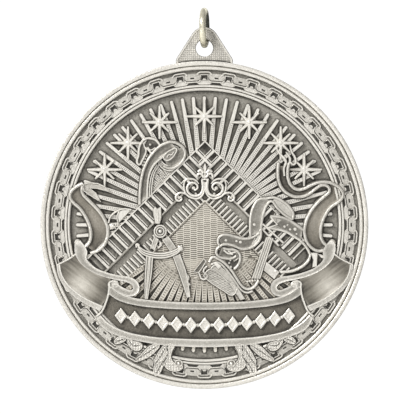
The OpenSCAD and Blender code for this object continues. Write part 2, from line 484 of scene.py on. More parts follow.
class Finish:
    """A material whose nodes are added by kind, settings and the values or links of their sockets."""

    def __init__(self, name):
        self.material = bpy.data.materials.new(name)
        self.material.use_nodes = True
        self.tree = self.material.node_tree
        self.shader = self.tree.nodes["Principled BSDF"]

    def add(self, kind, settings=None, output=0, **inputs):
        node = self.tree.nodes.new("ShaderNode" + kind)
        for key, value in (settings or {}).items():
            if key == "stops":
                while len(node.color_ramp.elements) < len(value):
                    node.color_ramp.elements.new(0.5)
                for element, (place, colour) in zip(node.color_ramp.elements, value):
                    element.position = place
                    element.color = colour
            else:
                setattr(node, key, value)
        for key, item in inputs.items():
            feed(self.tree, node.inputs[key.replace("_", " ")], item)
        return Value(self.tree, node.outputs[output])

    def set(self, **inputs):
        for key, item in inputs.items():
            feed(self.tree, self.shader.inputs[key.replace("_", " ")], item)
        return self.material


def tone(grey, warmth=1.0, blush=0.028):
    """A neutral metal colour, a little warm, as linear light."""
    return (grey, grey * (1 - blush * warmth), grey * (1 - 0.088 * warmth), 1.0)


def metal_finish(name, warmth=1.3, grain=0.9, mottle=0.46, streaks=0.0, hatch=0.0, weave=0.07, rough=0.38, blush=0.028):
    """Cast metal under a patina with painted shade and highlight: dark where the stored level is low, bright where it
    is high.
    """
    known = bpy.data.materials.get(name)
    if known:
        return known
    colours = bpy.context.scene.jewel_colours
    stops = [
        (0.0, tone(colours.dark, warmth * 1.6, blush)),
        (0.30, tone(0.20 * colours.dark + 0.46 * colours.middle, warmth * 1.6, blush)),
        (0.60, tone(colours.middle, warmth * 1.3, blush)),
        (0.96, tone(colours.bright, warmth)),
    ]
    finish = Finish(name)
    place = finish.add("TexCoord", output=3)
    # The stored level of patina and painted light and shade, which picks the colour and the roughness.
    rubbed_and_shaded = finish.add("Attribute", {"attribute_name": "wear"}, output=2)
    cloud = finish.add("TexNoise", Vector=place, Scale=420.0, Detail=3.0, Roughness=0.6)
    fine = finish.add("TexNoise", Vector=place, Scale=2900.0, Detail=2.0, Roughness=0.7)
    level = rubbed_and_shaded + (cloud - 0.5) * 0.26 + (fine - 0.5) * mottle
    height = fine
    if streaks:
        either_side = finish.add("VectorMath", {"operation": "ABSOLUTE"}, Vector=place)
        drawn_out = finish.add(
            "Mapping",
            {"vector_type": "TEXTURE"},
            Vector=either_side,
            Rotation=(0.0, -0.93, 0.0),
            Scale=(0.0005, 0.0033, 0.0070),
        )
        streak = finish.add("TexNoise", Vector=drawn_out, Scale=1.0, Detail=2.0, Roughness=0.5)
        level = level + (streak - 0.5) * streaks
        height = height + streak
    if hatch:
        split = finish.add("SeparateXYZ", Vector=place)
        rise = Value(finish.tree, split.socket.node.outputs[2])
        rows = (rise * (2 * math.pi / hatch)).sum("SINE", 0.0)
        columns = (split * (2 * math.pi / hatch)).sum("SINE", 0.0)
        threads = rows + columns * (0.25 if weave < 0.1 else 1.0)
        level = level + threads * weave
        height = height + threads * 0.5
    colour = finish.add("ValToRGB", {"stops": stops}, Fac=level)
    normal = finish.add("Bump", Height=height, Strength=grain, Distance=0.00008)
    roughness = (rough + 0.16) - rubbed_and_shaded * 0.16 + (cloud - 0.5) * 0.14
    return finish.set(Base_Color=colour, Metallic=0.50, Roughness=roughness, Normal=normal)


def finished(piece, name, material, body="medal", smooth=32.0):
    """Stands the flat piece up in its place on the frame and gives it its name, finish and body."""
    take(piece)
    piece.location = (0.0, 0.0, DISC_Z * MM)
    piece.rotation_euler = (math.radians(90.0), 0.0, 0.0)
    piece.scale = (MM, MM, MM)
    bpy.ops.object.transform_apply(location=True, rotation=True, scale=True)
    bpy.ops.object.shade_smooth_by_angle(angle=math.radians(smooth))
    piece.name = piece.data.name = name
    piece.data.materials.clear()
    piece.data.materials.append(material)
    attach(piece, body)
    return piece


class JewelSizes(PropertyGroup):
    """Counts and sizes of the relief, in millimetres on the flat medal."""

    chain_pairs: IntProperty(name="Chain pairs", description="Pairs of links round the border", default=38, min=30)
    ray_count: IntProperty(name="Rays", description="Rays round the whole field", default=72, min=48)
    rung_pitch: FloatProperty(
        name="Rung pitch", description="Distance between the rungs of the square", default=1.655, min=1.0
    )
    bar_pitch: FloatProperty(
        name="Bar pitch", description="Distance between the short bars beside the triangle", default=0.84, min=0.5
    )
    lozenges: IntProperty(name="Lozenges", description="Plain lozenges on the banner", default=13, min=3)
    rim_edge: FloatProperty(name="Rim edge", description="Roundness of the rim's edges", default=0.16, min=0.05)


class JewelColours(PropertyGroup):
    """Brightness and tint of the metal, whose dark, middle and bright levels serve the patina and the painted light and
    shade alike.
    """

    dark: FloatProperty(name="Patina", description="Brightness of the darkest patina", default=0.060, min=0.0)
    middle: FloatProperty(name="Half rubbed", description="Brightness of half-rubbed metal", default=0.46, min=0.0)
    bright: FloatProperty(name="Rubbed", description="Brightness of the rubbed tops", default=0.84, min=0.0)
    wire: FloatVectorProperty(
        name="Wire", description="Colour of the jump ring", subtype="COLOR", size=3, default=(0.86, 0.82, 0.66)
    )
    paper: FloatVectorProperty(
        name="Backdrop", description="Colour of the floor and backdrop", subtype="COLOR", size=3, default=(1.0, 1.0, 1.0)
    )


def sizes():
    return bpy.context.scene.jewel_sizes


def cast_metal():
    """The relief's own finish."""
    return metal_finish("cast_metal")


def stippled_metal():
    """The same with a fine stipple, for the leaves and the gavel."""
    return metal_finish("stippled_metal", mottle=0.24, hatch=0.00029, weave=0.11)


def hatched_metal():
    """The same with rows of fine lines, for the ear."""
    return metal_finish("hatched_metal", mottle=0.15, hatch=0.00037)


def ground_metal():
    """A warmer finish for the sunk face of the banner."""
    return metal_finish("ground_metal", warmth=1.8, mottle=0.30, blush=0.032)


def satin_metal():
    """The warmer, smoother finish inside the ribbons, with drawn-out streaks."""
    return metal_finish("satin_metal", warmth=1.7, grain=0.3, mottle=0.16, streaks=0.62, rough=0.34, blush=0.030)


class JEWEL_OT_blank(Operator):
    """Round plate with its rim, border rings and sunk back"""

    bl_idname = "jewel.blank"
    bl_label = "Blank"

    def execute(self, context):
        edge = sizes().rim_edge
        r = DISC_R
        back = -RIM_TOP
        outline = [
            (0.0, back + 0.30),
            (0.800 * r, back + 0.30),
            (0.815 * r, back + 0.22),
            (0.822 * r, back + 0.02),
            (0.828 * r, back),
            (r - edge, back),
            (r - 0.3 * edge, back + 0.3 * edge),
            (r, back + edge),
            (r, RIM_TOP - edge),
            (r - 0.3 * edge, RIM_TOP - 0.3 * edge),
            (r - edge, RIM_TOP),
            (0.979 * r, RIM_TOP),
            (0.974 * r, RIM_TOP - 0.08),
            (0.9705 * r, RIM_TOP - 0.30),
            (0.967 * r, RIM_TOP - 0.20),
            (0.962 * r, RIM_TOP - 0.05),
            (0.953 * r, RIM_TOP - 0.05),
            (0.948 * r, RIM_TOP - 0.18),
            *[((0.9445 - 0.0068 * k) * r, CHANNEL) for k in range(14)],
            (0.854 * r, LOW_TOP - 0.06),
            (0.8505 * r, LOW_TOP + 0.04),
            (0.842 * r, LOW_TOP + 0.04),
            (0.838 * r, LOW_TOP - 0.20),
            (0.834 * r, LOW_TOP + 0.02),
            (0.826 * r, LOW_TOP + 0.02),
            (0.821 * r, LOW_TOP - 0.10),
            (0.818 * r, FIELD),
        ]
        outline += [((0.810 - 0.0078 * k) * r, FIELD) for k in range(36)]
        outline += [(0.40 * r, FIELD), (0.0, FIELD)]
        piece = drawn(outline, sharp=True)
        for knot, point in zip(piece.data.splines[0].bezier_points, outline):
            knot.co = (point[0], 0.0, point[1])
        piece = meshed(piece)
        enter(piece, "EDGE")
        bpy.ops.mesh.spin(steps=640, angle=2 * math.pi, center=(0.0, 0.0, 0.0), axis=(0.0, 0.0, 1.0))
        bpy.ops.mesh.select_all(action="SELECT")
        bpy.ops.mesh.remove_doubles(threshold=0.001)
        bpy.ops.mesh.normals_make_consistent(inside=False)
        leave()
        wear(piece, CHANNEL, LOW_TOP - 0.05, 0.70, 0.86)
        # Levels by radius: the back and the rim's outer edge even, the field a little darker low down; dark in the
        # grooves, at the foot of the inner rings and in bands on the channel along both sides of the links: patina with
        # painted shade.
        layer = piece.data.attributes["wear"]
        for spot, vertex in zip(layer.data, piece.data.vertices):
            radius = vertex.co.xy.length / r
            if vertex.co.z < 0.0 or radius > 0.985:
                spot.value = 0.84
            elif radius < 0.81:
                spot.value = 0.42 if vertex.co.y < -unit(104.0) else 0.46
            elif radius < 0.819:
                spot.value = 0.05
            elif 0.968 < radius < 0.973:
                spot.value = 0.40
            elif 0.836 < radius < 0.840:
                spot.value = 0.25
            elif 0.938 < radius < 0.946:
                spot.value = 0.62
            elif 0.925 < radius < 0.938:
                spot.value = 0.42
            elif 0.855 < radius < 0.876:
                spot.value = 0.16
        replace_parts(finished(piece, "medal_blank", cast_metal()), "medal")
        return {"FINISHED"}


def local(*points):
    """Millimetres for points given on the sheet's scale round a piece's own middle, with y outwards."""
    return [(unit(x), unit(y)) for x, y in points]


def facing(points):
    """Points of a right half, outer end first, then their mirror images back up the left half."""
    return list(points) + [(-x, y) for x, y in reversed(points)]


def bow(*points):
    """A line up the right half from its end to its middle, and on down the left half."""
    return facing(points)


class JEWEL_OT_chain(Operator):
    """Chain of face-on and side-on links round the border"""

    bl_idname = "jewel.chain"
    bl_label = "Chain"

    def execute(self, context):
        pairs = sizes().chain_pairs
        step = 360.0 / pairs
        wide = self.wide_link()
        slim = self.slim_link()
        for piece in (wide, slim):
            enter(piece)
            shift(y=unit(147.2))
            leave()
        settled(slim, turn=step / 2)
        wide = round_of(wide, pairs, step)
        slim = round_of(slim, pairs, step)
        finished(wide, "chain_wide_links", cast_metal())
        finished(slim, "chain_slim_links", cast_metal())
        return {"FINISHED"}

    def wide_link(self):
        """Link seen face on: a bow with two lips, a dark plate of painted shade for its opening with a painted glint in
        it, and a broad bow below.
        """
        root = CHANNEL - 0.10
        upper = local(*facing(((4.6, 6.2), (6.8, 4.8), (7.4, 2.4), (3.6, 2.2))))
        opening = local(*facing(((3.4, 2.6), (3.5, -3.0))))
        glint = local(*facing(((1.1, -0.6), (3.0, -3.0))))
        lower = local(*facing(((3.6, -2.6), (8.2, -4.7), (5.4, -6.9))))
        outer_lip = local(*bow((7.4, 2.6), (6.3, 4.7), (4.3, 5.7)))
        return joined(
            plate(upper, root, LINK_TOP - 0.16, edge=0.04, lip=0.03, most=0.30, sharp=True),
            # A dark plate of painted shade stands for the opening, with a painted glint on it.
            plate(opening, root, CHANNEL + 0.02, edge=0.02, lip=0.03, most=0.0, sharp=True),
            plate(glint, root, CHANNEL + 0.12, edge=0.03, lip=0.02, most=0.86, sharp=True),
            plate(lower, root, LINK_TOP - 0.12, edge=0.05, lip=0.05, most=0.80, sharp=True),
            ridge(outer_lip, unit(1.6), LINK_TOP, root, sharp=True),
            ridge(local(*bow((4.0, -3.0), (3.7, 0.0), (3.7, 3.1))), unit(1.5), LINK_TOP - 0.02, root, sharp=True),
        )

    def slim_link(self):
        """Link seen from its side: a plain cheek with a slot, over a dark bed of painted shadow with a lip along its
        inner side.
        """
        root = CHANNEL - 0.10
        bed = local(*facing(((7.2, 4.4), (9.0, 2.4), (9.0, -2.0), (6.8, -4.4))))
        cheek = local(*facing(((6.8, 4.5), (8.2, 2.2), (7.7, -1.2), (5.8, -2.9))))
        slot = local(*reversed(facing(((1.8, 0.4), (1.8, -0.8)))))
        lip = local(*bow((8.5, 0.4), (7.9, -2.2), (6.3, -4.1)))
        return joined(
            # Dark bed of painted shadow round the cheek.
            plate(bed, root, CHANNEL + 0.06, edge=0.03, lip=0.03, most=0.05, sharp=True),
            plate(cheek, root, LINK_TOP - 0.12, edge=0.05, lip=0.05, most=0.74, hole=slot, sharp=True),
            ridge(lip, unit(1.5), LINK_TOP - 0.02, root, sharp=True),
        )


def one_ray(start, end, width_in, width_out, plain, columns, spread, pitch, pit=0.18):
    """A bar up the sheet with small pits in columns down its middle, plain towards its outer end."""
    rest()
    rows = int(round((end - start) / pitch))
    middle = (start + end) / 2
    cells = 2 * columns + 1
    bpy.ops.mesh.primitive_grid_add(x_subdivisions=cells, y_subdivisions=rows, size=1.0, location=(0.0, middle, 0.0))
    piece = bpy.context.object
    piece.scale = (width_in, end - start, 1.0)
    bpy.ops.object.transform_apply(location=True, scale=True)
    enter(piece)
    pick(piece, "VERT", lambda v: abs(v.co.x) < width_in * 0.45)
    grow(spread, 1.0, 1.0)
    leave()
    for vertex in piece.data.vertices:
        share = (vertex.co.y - start) / (end - start)
        vertex.co.x *= 1.0 + (width_out / width_in - 1.0) * share
    enter(piece)
    shift(z=RAY_TOP)
    bpy.ops.mesh.extrude_region_move(TRANSFORM_OT_translate={"value": (0.0, 0.0, FIELD - ROOT - RAY_TOP)})
    bpy.ops.mesh.select_all(action="SELECT")
    bpy.ops.mesh.normals_make_consistent(inside=False)
    pick(piece, "FACE", lambda f: f.normal.z < -0.9)
    bpy.ops.mesh.dissolve_faces()
    grow(1.45, 1.0, 1.0, (0.0, middle, 0.0))

    def pitted(face):
        spot = face.calc_center_median()
        share = (spot.y - start) / (end - start)
        width = width_in + (width_out - width_in) * share
        column = int((spot.x / width / spread + 0.5) * cells)
        inner = abs(spot.x) < 0.5 * width * spread * (cells - 1) / cells
        return face.normal.z > 0.9 and inner and column % 2 and int(share * rows) % 2 and spot.y < end - plain

    pick(piece, "FACE", pitted)
    bpy.ops.mesh.inset(thickness=0.02, depth=-pit, use_individual=True)
    pick(piece, "VERT", lambda v: v.co.y > end - 0.1)
    grow(0.5, 1.0, 1.0)
    leave()
    wear(piece, RAY_TOP - 0.36, RAY_TOP - 0.02, 0.0, 0.96)
    return graded(piece, 90.0, start, end, (0.80, 0.94, 1.0), over=True)


class JEWEL_OT_sunburst(Operator):
    """Rays round the field and the seven stars on them"""

    bl_idname = "jewel.sunburst"
    bl_label = "Sunburst and stars"

    def execute(self, context):
        count = sizes().ray_count
        step = 360.0 / count
        top = one_ray(APEX, unit(128.5), unit(4.2), unit(2.7), unit(23), 2, 0.94, unit(0.95))
        left = one_ray(unit(56), unit(128.5), unit(5.0), unit(2.7), unit(23), 2, 0.94, unit(0.95))
        settled(left, turn=step)
        left = round_of(left, int(105 / step), step)
        enter(left)
        bpy.ops.mesh.bisect(plane_co=(0.0, APEX, 0.0), plane_no=(-1.0, 1.0, 0.0), use_fill=True, clear_inner=True)
        leave()
        right = settled(twin(left), flip=True)
        low = one_ray(unit(54), unit(127.8), unit(5.1), unit(2.9), unit(24), 1, 1.9, unit(1.25), pit=0.09)
        wear(low, RAY_TOP - 0.36, RAY_TOP - 0.02, 0.12, 0.84)
        graded(low, 90.0, unit(54), unit(128), (0.80, 0.76, 0.82, 1.0), over=True)
        below = 2 * int(57.5 / step) + 1
        settled(low, turn=180.0 - step * (below - 1) / 2)
        low = round_of(low, below, step)
        finished(joined(top, left, right), "rays", cast_metal())
        finished(low, "low_rays", ground_metal())

        stars = []
        for angle, distance in ((0.0, 0.662), (23.6, 0.683), (43.0, 0.683), (61.0, 0.696)):
            for side in (1.0, -1.0) if angle else (1.0,):
                turn = math.radians(angle * side)
                place = (math.sin(turn) * distance * DISC_R, math.cos(turn) * distance * DISC_R)
                stars.append(self.star(*place))
        finished(joined(*stars), "stars", cast_metal())
        return {"FINISHED"}

    def star(self, x, y):
        """Eight tapering arms with a ridge down each, and a small boss where they cross."""
        arms = []
        for dx, dy, width in ((17.6, 0.0, 5.4), (0.0, 16.6, 5.2), (9.4, 9.4, 4.6), (9.4, -9.4, 4.6)):
            line = [(x - unit(dx), y - unit(dy)), (x, y), (x + unit(dx), y + unit(dy))]
            arms.append(ridge(line, unit(width), HIGH_TOP - 0.06, RAY_TOP - 0.15, sharp=True, ends=(0.42, 0.42)))
        return joined(*arms, bead(x, y, unit(2.6), HIGH_TOP, RAY_TOP))


class JEWEL_OT_square(Operator):
    """Great square: two legs with rungs, then the short bars and the hatched triangle inside it"""

    bl_idname = "jewel.square"
    bl_label = "Square and triangle"

    def execute(self, context):
        left = self.leg(unit(168.0), unit(168.0), 0.0, 0.04)
        right = self.leg(unit(146.0), unit(126.8), 0.012, 0.12)
        settled(right, flip=True)
        settled(right, move=(2 * unit(AXIS_X - SHEET_X), 0.0))
        finished(joined(left, right), "great_square", cast_metal())
        left = self.short_bars(12, 0.0, 0.88, 0.46)
        right = self.short_bars(0, 0.012, 0.84, 0.78)
        settled(right, flip=True)
        settled(right, move=(2 * unit(AXIS_X - SHEET_X), 0.0))
        finished(joined(left, right), "short_bars", cast_metal())

        self.middle()
        return {"FINISHED"}

    def leg(self, length, inner_length, drop, darkest):
        """One leg down to the left of the apex: floor, edge lines, rungs and the line at its end."""
        width = unit(21.7)
        pitch = sizes().rung_pitch
        line = LINE_TOP - drop
        root = FIELD - ROOT
        floor = floor_of(0.0, 0.0, length, width, root, SQUARE_FLOOR - drop, 0.36, cell=0.14)
        # Painted shade between the rungs: darkest beside one rung and lighter across the gap, then a dark band of
        # painted shadow; the left leg, lit along its rungs, gets the darker shade.
        layer = floor.data.attributes["wear"]
        for spot, vertex in zip(layer.data, floor.data.vertices):
            share = ((vertex.co.x - unit(14.6)) / pitch) % 1.0
            spot.value = darkest + 1.05 * share if share < 0.54 else 0.06
        outer = bar(-unit(1.0), -unit(0.8), length, unit(2.1), root, line, chamfer=0.55)
        inner = bar(width, width - unit(0.9), inner_length - width, unit(2.3), root, line - 0.05, chamfer=0.55, foot=0.2)
        crest = bar(unit(11.8), 0.0, unit(2.9), width, root, line - 0.03, chamfer=0.82, foot=0.08)
        thin = bar(unit(10.0), unit(1.8), unit(1.1), width - unit(3.6), root, line - 0.24, chamfer=0.8, foot=0.02)
        rungs = row_of(joined(crest, thin), int((length - unit(10.2)) / pitch), pitch, 0.0)
        end = bar(length - unit(1.0), 0.0, unit(2.1), width, FIELD - ROOT, line - 0.05, chamfer=0.55)
        leg = joined(floor, outer, inner, rungs, end)
        return settled(leg, move=(unit(AXIS_X - SHEET_X), APEX), turn=225.0)

    def short_bars(self, more, drop, level, shaded):
        """The row of short bars along the left side of the triangle, and their bed, with a band of painted shadow
        beside each bar.
        """
        step = sizes().bar_pitch
        top = SQUARE_FLOOR - 0.06 - drop
        short = bar(unit(13.0), 0.0, step * 0.48, unit(13.2), FIELD - ROOT, LOW_TOP - drop, chamfer=0.7, foot=0.05)
        short = row_of(short, int(unit(112 + more) / step), step, 0.0)
        bed = floor_of(-unit(7.2), -unit(7.2), unit(130 + more), unit(20.4), FIELD - ROOT, top, 0.50, cell=0.12)
        layer = bed.data.attributes["wear"]
        # A band of painted shadow beside each bar, placed by the leg; the rest of the bed at the given level.
        for spot, vertex in zip(layer.data, bed.data.vertices):
            share = ((vertex.co.x - unit(13.0)) / step) % 1.0
            if vertex.co.x > unit(13.0) and vertex.co.y > 0.0:
                spot.value = 0.30 if shaded <= share < shaded + 0.24 else level
        return settled(joined(short, bed), move=(unit(AXIS_X - SHEET_X), unit(42.0)), turn=225.0)

    def middle(self):
        """Flat middle under the triangle, its border line and the rows of short dashes on it."""
        top_y = unit(24.4)
        reach = unit(58.0)
        foot = unit(55.0)
        outline = [(0.0, top_y), (-reach, top_y - reach)]
        outline += [(foot * math.sin(math.radians(a)), -foot * math.cos(math.radians(a))) for a in range(-50, 51, 10)]
        outline += [(reach, top_y - reach)]
        bed = plate(outline, FIELD - ROOT, MIDDLE_TOP, sharp=True, least=0.0, most=0.72)
        columns = 146
        rows = 82
        wide = unit(0.84) * columns
        tall = unit(1.0) * rows
        start_y = top_y + unit(0.5)
        bpy.ops.mesh.primitive_grid_add(
            x_subdivisions=columns, y_subdivisions=rows, size=1.0, location=(0.0, start_y - tall / 2, 0.0)
        )
        dashes = bpy.context.object
        dashes.scale = (wide, tall, 1.0)
        bpy.ops.object.transform_apply(location=True, scale=True)
        enter(dashes)
        shift(z=MIDDLE_TOP + 0.07)

        def sunk(face):
            spot = face.calc_center_median()
            column = int((spot.x / wide + 0.5) * columns)
            row = int((start_y - spot.y) / tall * rows)
            return column % 8 < 7 and (row + column // 8) % 2 == 1

        pick(dashes, "FACE", sunk)
        bpy.ops.mesh.inset(thickness=0.02, depth=-0.12)
        for side in (-1.0, 1.0):
            bpy.ops.mesh.select_all(action="SELECT")
            bpy.ops.mesh.bisect(plane_co=(0.0, top_y, 0.0), plane_no=(side, 1.0, 0.0), clear_outer=True)

        def under_rays(face):
            spot = face.calc_center_median()
            return spot.length > foot - unit(1.0) and abs(spot.x) < -1.5 * spot.y

        pick(dashes, "FACE", under_rays)
        bpy.ops.mesh.delete(type="FACE")
        bpy.ops.mesh.select_all(action="SELECT")
        bpy.ops.mesh.region_to_loop()
        bpy.ops.mesh.extrude_region_move(TRANSFORM_OT_translate={"value": (0.0, 0.0, -0.20)})
        bpy.ops.mesh.select_all(action="SELECT")
        bpy.ops.mesh.normals_make_consistent(inside=False)
        leave()
        wear(dashes, MIDDLE_TOP - 0.04, MIDDLE_TOP + 0.06, 0.38, 0.76)
        line = [(-reach, top_y - reach), (0.0, top_y), (reach, top_y - reach)]
        border = ridge(line, unit(1.6), MIDDLE_TOP + 0.16, MIDDLE_TOP - 0.05, sharp=True)
        # A dark line of painted shade just inside the border line.
        inside = [(x, y - unit(2.3)) for x, y in line]
        shade = ridge(inside, unit(1.0), MIDDLE_TOP + 0.12, MIDDLE_TOP - 0.05, sharp=True)
        wear(shade, 0.0, 1.0, 0.10, 0.10)
        offset = unit(AXIS_X - SHEET_X)
        middle = settled(joined(bed, dashes, border, shade), move=(offset, 0.0))
        finished(middle, "triangle", ground_metal())


class JEWEL_OT_scrolls(Operator):
    """Scroll ornament over the apex of the square"""

    bl_idname = "jewel.scrolls"
    bl_label = "Scroll ornament"

    def execute(self, context):
        base = LOW_TOP - 0.15
        stem = sheet(
            (202.2, 179.6), (202.8, 188.0), (201.0, 193.4), (196.4, 195.8), (190.2, 194.2), (187.2, 189.6),
            (188.2, 184.8), (192.4, 182.6), (196.8, 184.6), (197.4, 188.2), (194.4, 190.4),
        )
        outer = sheet(
            (204.2, 182.0), (204.3, 189.8), (202.6, 194.8), (198.0, 198.4), (191.6, 197.6), (186.2, 194.0),
            (184.0, 188.0), (184.6, 181.8), (187.4, 177.8),
        )
        low_scroll = sheet(
            (186.2, 194.0), (181.8, 192.6), (177.4, 194.2), (175.8, 198.2), (178.4, 200.8), (181.6, 199.2), (180.6, 196.4),
        )
        wing = sheet((181.0, 184.0), (184.6, 180.2), (190.0, 178.8), (195.6, 180.4), (198.8, 183.8))
        upper_leaf = sheet((203.6, 173.2), (200.6, 170.2), (197.8, 171.8))
        lower_leaf = sheet((203.8, 177.4), (201.0, 173.8), (198.0, 174.2), (197.2, 177.4))
        parts = [
            ridge(stem, unit(2.7), HIGH_TOP, base, sides=2, ends=(1.0, 0.7), middle=1.0, detail=3),
            ridge(outer, unit(2.2), HIGH_TOP - 0.04, base, sides=2, ends=(0.8, 0.6), middle=1.0, detail=3),
            ridge(low_scroll, unit(2.3), HIGH_TOP - 0.04, base, sides=2, ends=(0.9, 0.8), middle=1.0, detail=3),
            ridge(wing, unit(2.2), HIGH_TOP - 0.08, base, ends=(0.4, 0.6), middle=1.1, detail=3),
            ridge(upper_leaf, unit(3.0), HIGH_TOP, base, sides=2, ends=(1.0, 0.7), middle=1.0, detail=3),
            ridge(lower_leaf, unit(2.8), HIGH_TOP - 0.02, base, sides=2, ends=(1.0, 0.8), middle=1.0, detail=3),
            bead(*sheet((193.6, 188.2))[0], unit(1.9), HIGH_TOP, base),
            bead(*sheet((179.2, 197.8))[0], unit(1.5), HIGH_TOP - 0.04, base),
        ]
        left = joined(*parts)
        collar = ridge(sheet((201.4, 179.4), (208.6, 179.4)), unit(3.0), HIGH_TOP, base, ends=(0.7, 0.7), middle=1.1)
        bud = ridge(sheet((205.0, 163.6), (205.0, 168.0), (205.0, 172.4)), unit(5.0), HIGH_TOP + 0.02, base, ends=(0.3, 0.5))
        tip = joined(bud, ridge(sheet((205.0, 171.0), (205.0, 178.6)), unit(2.4), HIGH_TOP - 0.02, base))
        finished(joined(mirrored(left), collar, tip), "scroll_ornament", cast_metal())
        return {"FINISHED"}


class JEWEL_OT_dividers(Operator):
    """Pair of dividers in front of the left leg of the square"""

    bl_idname = "jewel.dividers"
    bl_label = "Dividers"

    def execute(self, context):
        low = LOW_TOP - 0.20
        grip = sheet(
            (152.9, 210.2), (155.0, 206.0), (157.2, 208.6), (161.2, 206.8), (161.6, 217.6), (159.8, 224.0),
            (155.4, 224.0), (153.8, 217.3),
        )
        x, y = sheet((160.2, 231.3))[0]
        head = wear(bead(x, y, unit(6.6), HIGH_TOP - 0.14, low), 0.0, 1.0, 0.34, 0.34)
        ring = [(x + unit(3.7) * math.cos(t), y + unit(3.7) * math.sin(t)) for t in [k * math.pi / 4 for k in range(8)]]
        rim = [(x + unit(5.8) * math.cos(t), y + unit(5.8) * math.sin(t)) for t in [k * math.pi / 4 for k in range(8)]]
        parts = [
            head,
            ridge(rim, unit(1.8), HIGH_TOP, HIGH_TOP - 0.20, closed=True),
            ridge(ring, unit(1.4), HIGH_TOP + 0.02, HIGH_TOP - 0.14, closed=True, detail=3),
            bead(x, y, unit(1.5), HIGH_TOP + 0.03, HIGH_TOP - 0.12),
            plate(grip, low, HIGH_TOP - 0.08, sharp=True, least=0.0, most=0.66),
            ridge(sheet((157.4, 210.0), (158.0, 222.0)), unit(1.2), HIGH_TOP, HIGH_TOP - 0.14),
        ]
        for legs in (
            (sheet((154.6, 237.0), (150.6, 248.6)), sheet((158.0, 239.0), (155.0, 248.8))),
            (sheet((162.6, 239.6), (170.4, 251.0)), sheet((167.8, 236.4), (176.0, 248.0))),
            (sheet((146.8, 256.0), (145.4, 276.0), (145.0, 299.0)), sheet((149.4, 256.4), (147.6, 276.0), (145.8, 299.0))),
            (sheet((150.2, 256.4), (149.2, 272.0), (146.2, 299.0)), sheet((152.6, 256.6), (151.4, 272.0), (147.4, 299.0))),
            (sheet((173.4, 256.6), (180.4, 275.6), (187.4, 297.6)), sheet((179.6, 254.2), (186.0, 273.0), (190.0, 297.0))),
        ):
            parts.append(band(*legs, HIGH_TOP - 0.10, 0.02, low, detail=2, least=0.0, most=0.60))
            for line in legs:
                parts.append(ridge(line, unit(1.4), HIGH_TOP, low, most=0.86, ends=(1.0, 0.7)))
                # Painted shade along each side of the leg.
                parts.append(shade(line, unit(3.3), ends=(1.0, 0.7)))
        parts.append(bead(*sheet((160.8, 244.6))[0], unit(1.8), HIGH_TOP - 0.1, low))
        parts.append(ridge(sheet((158.0, 248.4), (161.6, 245.0)), unit(1.5), HIGH_TOP - 0.1, low))
        for drop, reach in ((0.0, 0.0), (2.1, 1.2), (4.2, 0.8)):
            line = sheet(
                (136.8 + reach, 244.6 + drop), (142.6, 249.6 + drop), (151.0, 252.6 + drop), (161.0, 253.6 + drop),
                (171.0, 251.8 + drop), (178.0, 248.6 + drop * 0.9), (182.0 - reach, 245.4 + drop * 0.9),
            )
            parts.append(ridge(line, unit(2.1), HIGH_TOP, low, ends=(0.8, 0.9), detail=3))
            # Painted shade along the arc.
            parts.append(shade(line, unit(3.9), detail=3))
        parts.append(ridge(sheet((136.4, 247.6), (136.8, 244.0), (139.4, 245.4)), unit(2.0), HIGH_TOP, low))
        parts.append(bead(*sheet((180.4, 248.4))[0], unit(3.0), HIGH_TOP + 0.02, low))
        finished(joined(*parts), "dividers", cast_metal())
        return {"FINISHED"}


